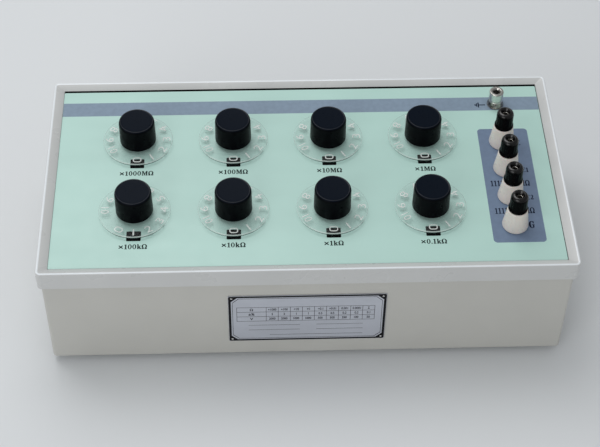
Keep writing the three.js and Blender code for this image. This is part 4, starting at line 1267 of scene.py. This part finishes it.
class RESBOX_OT_terminals(bpy.types.Operator):
    """Build the insulated terminals"""
    bl_idname = "resbox.terminals"
    bl_label = "Insulated terminals"

    def execute(self, context):
        settings = context.scene.resbox_terminal
        ivory = ivory_urea("urea_moulding_ivory", settings.cream_colour)
        phenolic = moulded_phenolic("phenolic_cap_black", settings.cap_colour, settings.cap_colour,
                                    gloss=0.2, dull=0.03, shine=0.8, shine_from=15.2, painted_reflection_from=13.5)
        nickel = turned_metal("nickel_plated_brass", settings.nickel_colour, gloss=0.22, mark=0.2)
        brass = turned_metal("turned_brass", linear("C9A65A"), gloss=0.25, mark=0.25)
        makers = {
            "base": (self.insulator_mesh(ivory), "insulator", "box", "terminal_cream"),
            "stud": (self.stud_mesh(settings, nickel), "post", "box", "nickel"),
            "bush": (self.bush_mesh(brass), "bush_insert", "terminal_bush_{}", "bush_brass"),
            "cap": (self.cap_mesh(settings, phenolic), "cap_shell", "terminal_cap_{}", "terminal_black"),
        }
        for number in TERMINALS:
            x, y = axis_of(f"terminal_base_{number}")[:2]
            for kind, (mesh, name, body, slot) in makers.items():
                node = f"terminal_{kind}_{number}"
                add_piece(f"{name}_{number}", moved(mesh, x, y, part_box(node)[0].z),
                          body.format(number), [node])
        return {"FINISHED"}

    def insulator_mesh(self, material):
        """A waisted cone on the face, with a spigot through the panel."""
        node = "terminal_base_1"
        foot = above_foot(node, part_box("panel_face")[1].z + SEAT_GAP)
        top = height_of(node)
        return turned([
            (3.3, 0, 0.2), (5.6, 0, 0.3), (5.6, foot, 0), (10.5, foot, 0.2), (11.2, foot + 1.1, 0.9),
            (9.9, foot + 10.5, 2.5), (8.65, top - 0.5, 0.3), (8.2, top, 0.2), (3.3, top, 0.2),
            (3.3, 0, 0)], material, sides=72)

    def stud_mesh(self, settings, material):
        """A threaded post with a collar, a plug socket in its end, a wire hole and a nut under the board."""
        node = "terminal_stud_1"
        height = height_of(node)
        collar = above_foot(node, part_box("terminal_base_1")[1].z + SEAT_GAP)
        ledge = collar + 1.2
        wire_hole = ledge + 1.5
        # Thread from above the wire hole to the end of the post
        start, end = ledge + 2.7, height - 0.6
        rows_per_turn = 8
        rows = int((end - start) / (settings.thread_pitch / MM) * rows_per_turn)
        thread = [(3.0, start + (end - start) * i / rows, 0) for i in range(rows + 1)]
        body = turned([
            (0, 0, 0), (2.7, 0, 0.2), (3.0, 0.5, 0), (3.0, collar, 0), (5.6, collar, 0.2),
            (5.6, ledge, 0.25), (3.0, ledge, 0), *thread,
            (2.8, height, 0.12), (2.35, height, 0.1), (2.05, height - 0.4, 0.1),
            (2.05, height - 17, 0), (0, height - 18, 0)],
            material, sides=48, grooves={
                "Starts": 1, "Twist": 1 / settings.thread_pitch, "Depth": settings.thread_depth,
                "Bottom": start * MM, "Top": end * MM, "Fade": settings.thread_pitch})
        nut_low, nut_top = 6.7, 11.7
        nut = turned([(3.0, nut_low, 0), (6.6, nut_low, 0.2), (7.0, nut_low + 0.4, 0.2),
                      (7.0, nut_top - 0.4, 0.2), (6.6, nut_top, 0.2), (3.0, nut_top, 0), (3.0, nut_low, 0)],
                     material, sides=6, sharp=20)
        return merged([self.cross_hole(body, wire_hole * MM), nut], "post")

    def cross_hole(self, mesh, z):
        """Cuts the hole for a bare wire across the stud."""
        radius, length = 1.2 * MM, 8 * MM
        cutter_mesh = bpy.data.meshes.new("wire_hole")
        work = bmesh.new()
        across = Matrix.Translation((0, 0, z)) @ Matrix.Rotation(math.pi / 2, 4, "X")
        bmesh.ops.create_cone(work, cap_ends=True, segments=24, radius1=radius, radius2=radius,
                              depth=length, matrix=across)
        work.to_mesh(cutter_mesh)
        work.free()
        cutter = loose_object("wire_hole", cutter_mesh)
        piece = loose_object("stud_body", mesh)
        cut = piece.modifiers.new("Wire hole", "BOOLEAN")
        cut.operation = "DIFFERENCE"
        cut.solver = "EXACT"
        cut.object = cutter
        result = plain_mesh(piece)
        bpy.data.objects.remove(cutter)
        return result

    def bush_mesh(self, material):
        """The brass bush in a cap."""
        height = height_of("terminal_bush_1")
        return turned([(3.3, 0, 0.2), (4.9, 0, 0.3), (4.9, height, 0.3), (3.3, height, 0.2), (3.3, 0, 0)],
                      material, sides=48)

    def cap_mesh(self, settings, material):
        """A fluted cap with a skirt, hollow for the collar, the bush and the stud."""
        node = "terminal_cap_1"
        height = height_of(node)
        shelf = 1.3
        roof = above_foot(node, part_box("terminal_bush_1")[1].z) + 0.3
        throat = above_foot(node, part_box("terminal_stud_1")[1].z) + 0.25
        return turned([
            (5.9, shelf, 0), (5.9, 0, 0.2), (7.8, 0, 0.2), (8.3, 0.5, 0.3), (8.25, 1.9, 0.4),
            (7.68, 2.9, 0.5), (7.56, 3.6, 0), (7.54, 4.5, 0), (7.5, 7.0, 0), (7.46, 9.5, 0),
            (7.42, 12.2, 0), (7.38, 13.1, 0), (7.2, 15.0, 1.2), (6.0, 16.6, 0.9), (4.7, height, 0.3),
            (4.2, height - 0.05, 0.2), (3.9, height - 0.5, 0.2), (2.6, throat + 0.7, 0.2),
            (2.45, throat, 0.1), (3.3, throat, 0), (3.3, roof, 0), (5.2, roof, 0), (5.2, shelf, 0),
            (5.9, shelf, 0)],
            material, sides=96, steps=5, sharp=40, grooves={
                "Starts": settings.flutes, "Depth": settings.flute_depth, "Bottom": 3.2 * MM,
                "Top": 13.0 * MM, "Fade": 1.2 * MM})


class RESBOX_OT_earth(bpy.types.Operator):
    """Build the metal earth terminal"""
    bl_idname = "resbox.earth"
    bl_label = "Earth terminal"

    def execute(self, context):
        settings = context.scene.resbox_earth
        nickel = turned_metal("satin_nickel", settings.nickel_colour, gloss=0.26, mark=0.25)
        x, y, bottom, _ = axis_of("earth_stud")
        post = self.stud_mesh(settings, nickel)
        add_piece("earth_post", moved(post, x, y, bottom), "box", ["earth_stud"])
        ring, bottom = self.washer_mesh(nickel), axis_of("earth_washer")[2]
        add_piece("earth_ring", moved(ring, x, y, bottom), "earth_washer", ["earth_washer"])
        nut, bottom = self.nut_mesh(nickel), axis_of("earth_thumb_nut")[2]
        add_piece("earth_nut", moved(nut, x, y, bottom), "earth_thumb_nut", ["earth_thumb_nut"])
        return {"FINISHED"}

    def stud_mesh(self, settings, material):
        """A stud with a tall collar on the face and a nut under the board, with painted shade on its end and
        dark clouds on the foot of its collar.
        """
        node = "earth_stud"
        height = height_of(node)
        foot = above_foot(node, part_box("panel_face")[1].z + SEAT_GAP)
        collar, shoulder = settings.collar_radius / MM, foot + 6.2
        post = turned([
            (0, 0, 0), (2.3, 0, 0.2), (2.5, 0.4, 0), (2.5, 4.5, 0), (5.0, 4.5, 0.2), (5.0, 8.0, 0.2),
            (2.5, 8.0, 0), (2.5, foot, 0), (collar - 0.2, foot, 0.1), (collar, foot + 0.4, 0.3),
            (collar, foot + 1.3, 0.4), (collar - 0.3, foot + 1.6, 0.2), (5.9, shoulder - 0.4, 0.4),
            (5.6, shoulder, 0.2), (2.5, shoulder, 0), (2.5, height - 0.8, 0.2), (1.9, height - 0.2, 0.3),
            (0, height, 0)], material, sides=64)
        post.materials.append(turned_metal("stud_end_painted_shade", settings.end_colour, gloss=0.4, mark=0.25))
        post.materials.append(turned_metal("dark_clouded_collar_foot", settings.collar_colour, gloss=0.16,
                                           mark=0.25, tarnish=0.02))
        # The stud's end takes painted shade, the foot of the collar dark clouds
        for face in post.polygons:
            if face.center.z > height * MM - settings.dark_end:
                face.material_index = 1
            elif foot * MM < face.center.z < foot * MM + settings.dark_collar:
                face.material_index = 2
        return post

    def washer_mesh(self, material):
        """The captive washer under the thumb nut."""
        thick = height_of("earth_washer")
        return turned([(2.8, 0, 0.1), (6.0, 0, 0.15), (6.0, thick, 0.15), (2.8, thick, 0.1), (2.8, 0, 0)],
                      material, sides=64)

    def nut_mesh(self, material):
        """The smooth thumb nut, with a countersunk upper end."""
        tall = height_of("earth_thumb_nut")
        return turned([
            (2.8, 0, 0.2), (5.8, 0, 0.2), (6.4, 0.6, 0.3), (6.4, tall - 0.7, 0.3), (5.8, tall, 0.3),
            (3.9, tall, 0.3), (2.8, tall - 1.6, 0.2), (2.8, 0, 0)], material, sides=72)


class RESBOX_OT_stage(bpy.types.Operator):
    """Build the floor, the lamps, the room light and the camera"""
    bl_idname = "resbox.stage"
    bl_label = "Stage"

    def execute(self, context):
        settings = context.scene.resbox_stage
        self.floor(settings)
        self.lamp("top_lamp", settings.top_lamp, 1.3, (-0.4, 0.6, 1.65))
        self.lamp("front_lamp", settings.front_lamp, 1.2, (-1.0, -1.6, 0.9))
        self.room(context, settings)
        self.camera(context)
        context.scene.view_settings.view_transform = "Standard"
        return {"FINISHED"}

    def floor(self, settings):
        """A sheet of seamless paper, wide enough to fill the picture."""
        half = 6.0
        mesh = bpy.data.meshes.new("floor")
        mesh.from_pydata([(-half, -half, 0), (half, -half, 0), (half, half, 0), (-half, half, 0)], [],
                         [(0, 1, 2, 3)])
        mesh.materials.append(plain_floor("seamless_paper", settings.floor_colour))
        loose_object("floor", mesh)

    def lamp(self, name, power, width, place):
        """A square soft box aimed at the middle of the box."""
        data = bpy.data.lights.new(name, "AREA")
        data.energy = power
        data.size = width
        lamp = bpy.data.objects.new(name, data)
        lamp.location = place
        lamp.rotation_euler = (Vector((0, 0, 0.1)) - Vector(place)).to_track_quat("-Z", "Y").to_euler()
        bpy.context.scene.collection.objects.link(lamp)

    def room(self, context, settings):
        """Pale room that lights evenly; gloss and metal see it dimmer, as a room beyond the lamps."""
        world = bpy.data.worlds.new("room")
        world.use_nodes = True
        tree = world.node_tree
        path = add(tree, "ShaderNodeLightPath").outputs
        lit = add(tree, "ShaderNodeMapRange", {"Value": path["Is Glossy Ray"], "To Min": settings.room_light,
                                               "To Max": settings.room_gloss})
        seen = add(tree, "ShaderNodeMapRange", {"Value": path["Is Camera Ray"], "To Min": lit.outputs[0],
                                                "To Max": 1.0})
        background = tree.nodes["Background"]
        background.inputs["Color"].default_value = linear("F4F6F8")
        tree.links.new(seen.outputs[0], background.inputs["Strength"])
        context.scene.world = world

    def camera(self, context):
        """The photograph's viewpoint: place and angles worked out from the box's edges in it."""
        yaw, pitch, roll = math.radians(2.528), math.radians(48.543), math.radians(0.880)
        place = Vector((-43.81, -915.11, 1086.83)) * MM
        forward = Vector((math.sin(yaw) * math.cos(pitch), math.cos(yaw) * math.cos(pitch),
                          -math.sin(pitch)))
        level = Vector((math.cos(yaw), -math.sin(yaw), 0))
        above = level.cross(forward)
        right = level * math.cos(roll) + above * math.sin(roll)
        up = above * math.cos(roll) - level * math.sin(roll)
        data = bpy.data.cameras.new("camera")
        data.sensor_fit = "HORIZONTAL"
        data.sensor_width = 36.0
        data.lens = 91.79
        camera = bpy.data.objects.new("camera", data)
        turn = Matrix((right, up, -forward)).transposed()
        camera.matrix_world = Matrix.Translation(place) @ turn.to_4x4()
        context.scene.collection.objects.link(camera)
        context.scene.camera = camera


OPERATORS = (RESBOX_OT_top_frame, RESBOX_OT_case, RESBOX_OT_feet, RESBOX_OT_panel, RESBOX_OT_prints,
             RESBOX_OT_plate, RESBOX_OT_knobs, RESBOX_OT_dials, RESBOX_OT_switches, RESBOX_OT_terminals,
             RESBOX_OT_earth, RESBOX_OT_stage)
SETTINGS = {"resbox_metal": MetalSettings, "resbox_print": PrintSettings, "resbox_plate": PlateSettings,
            "resbox_selector": SelectorSettings, "resbox_terminal": TerminalSettings,
            "resbox_earth": EarthSettings, "resbox_stage": StageSettings}


class RESBOX_PT_sidebar(bpy.types.Panel):
    """Lists the steps that build the box"""
    bl_idname = "RESBOX_PT_sidebar"
    bl_label = "Resistance Box"
    bl_space_type = "VIEW_3D"
    bl_region_type = "UI"
    bl_category = "Resistance Box"

    def draw(self, context):
        for operator in OPERATORS:
            self.layout.operator(operator.bl_idname)
        for name in SETTINGS:
            group = getattr(context.scene, name)
            box = self.layout.box()
            for key in group.bl_rna.properties.keys():
                if key not in ("rna_type", "name"):
                    box.prop(group, key)


def register():
    """Makes Blender know the settings, the operators and the panel."""
    for name, group in SETTINGS.items():
        bpy.utils.register_class(group)
        setattr(bpy.types.Scene, name, bpy.props.PointerProperty(type=group))
    for kind in (*OPERATORS, RESBOX_PT_sidebar):
        bpy.utils.register_class(kind)


def unregister():
    """Takes all of them away again."""
    for kind in reversed((*OPERATORS, RESBOX_PT_sidebar)):
        bpy.utils.unregister_class(kind)
    for name, group in SETTINGS.items():
        delattr(bpy.types.Scene, name)
        bpy.utils.unregister_class(group)


def main():
    """Builds every piece in order."""
    register()
    bpy.ops.resbox.top_frame()
    bpy.ops.resbox.case()
    bpy.ops.resbox.feet()
    bpy.ops.resbox.panel()
    bpy.ops.resbox.prints()
    bpy.ops.resbox.plate()
    bpy.ops.resbox.knobs()
    bpy.ops.resbox.dials()
    bpy.ops.resbox.switches()
    bpy.ops.resbox.terminals()
    bpy.ops.resbox.earth()
    bpy.ops.resbox.stage()


if __name__ == "__main__":
    main()
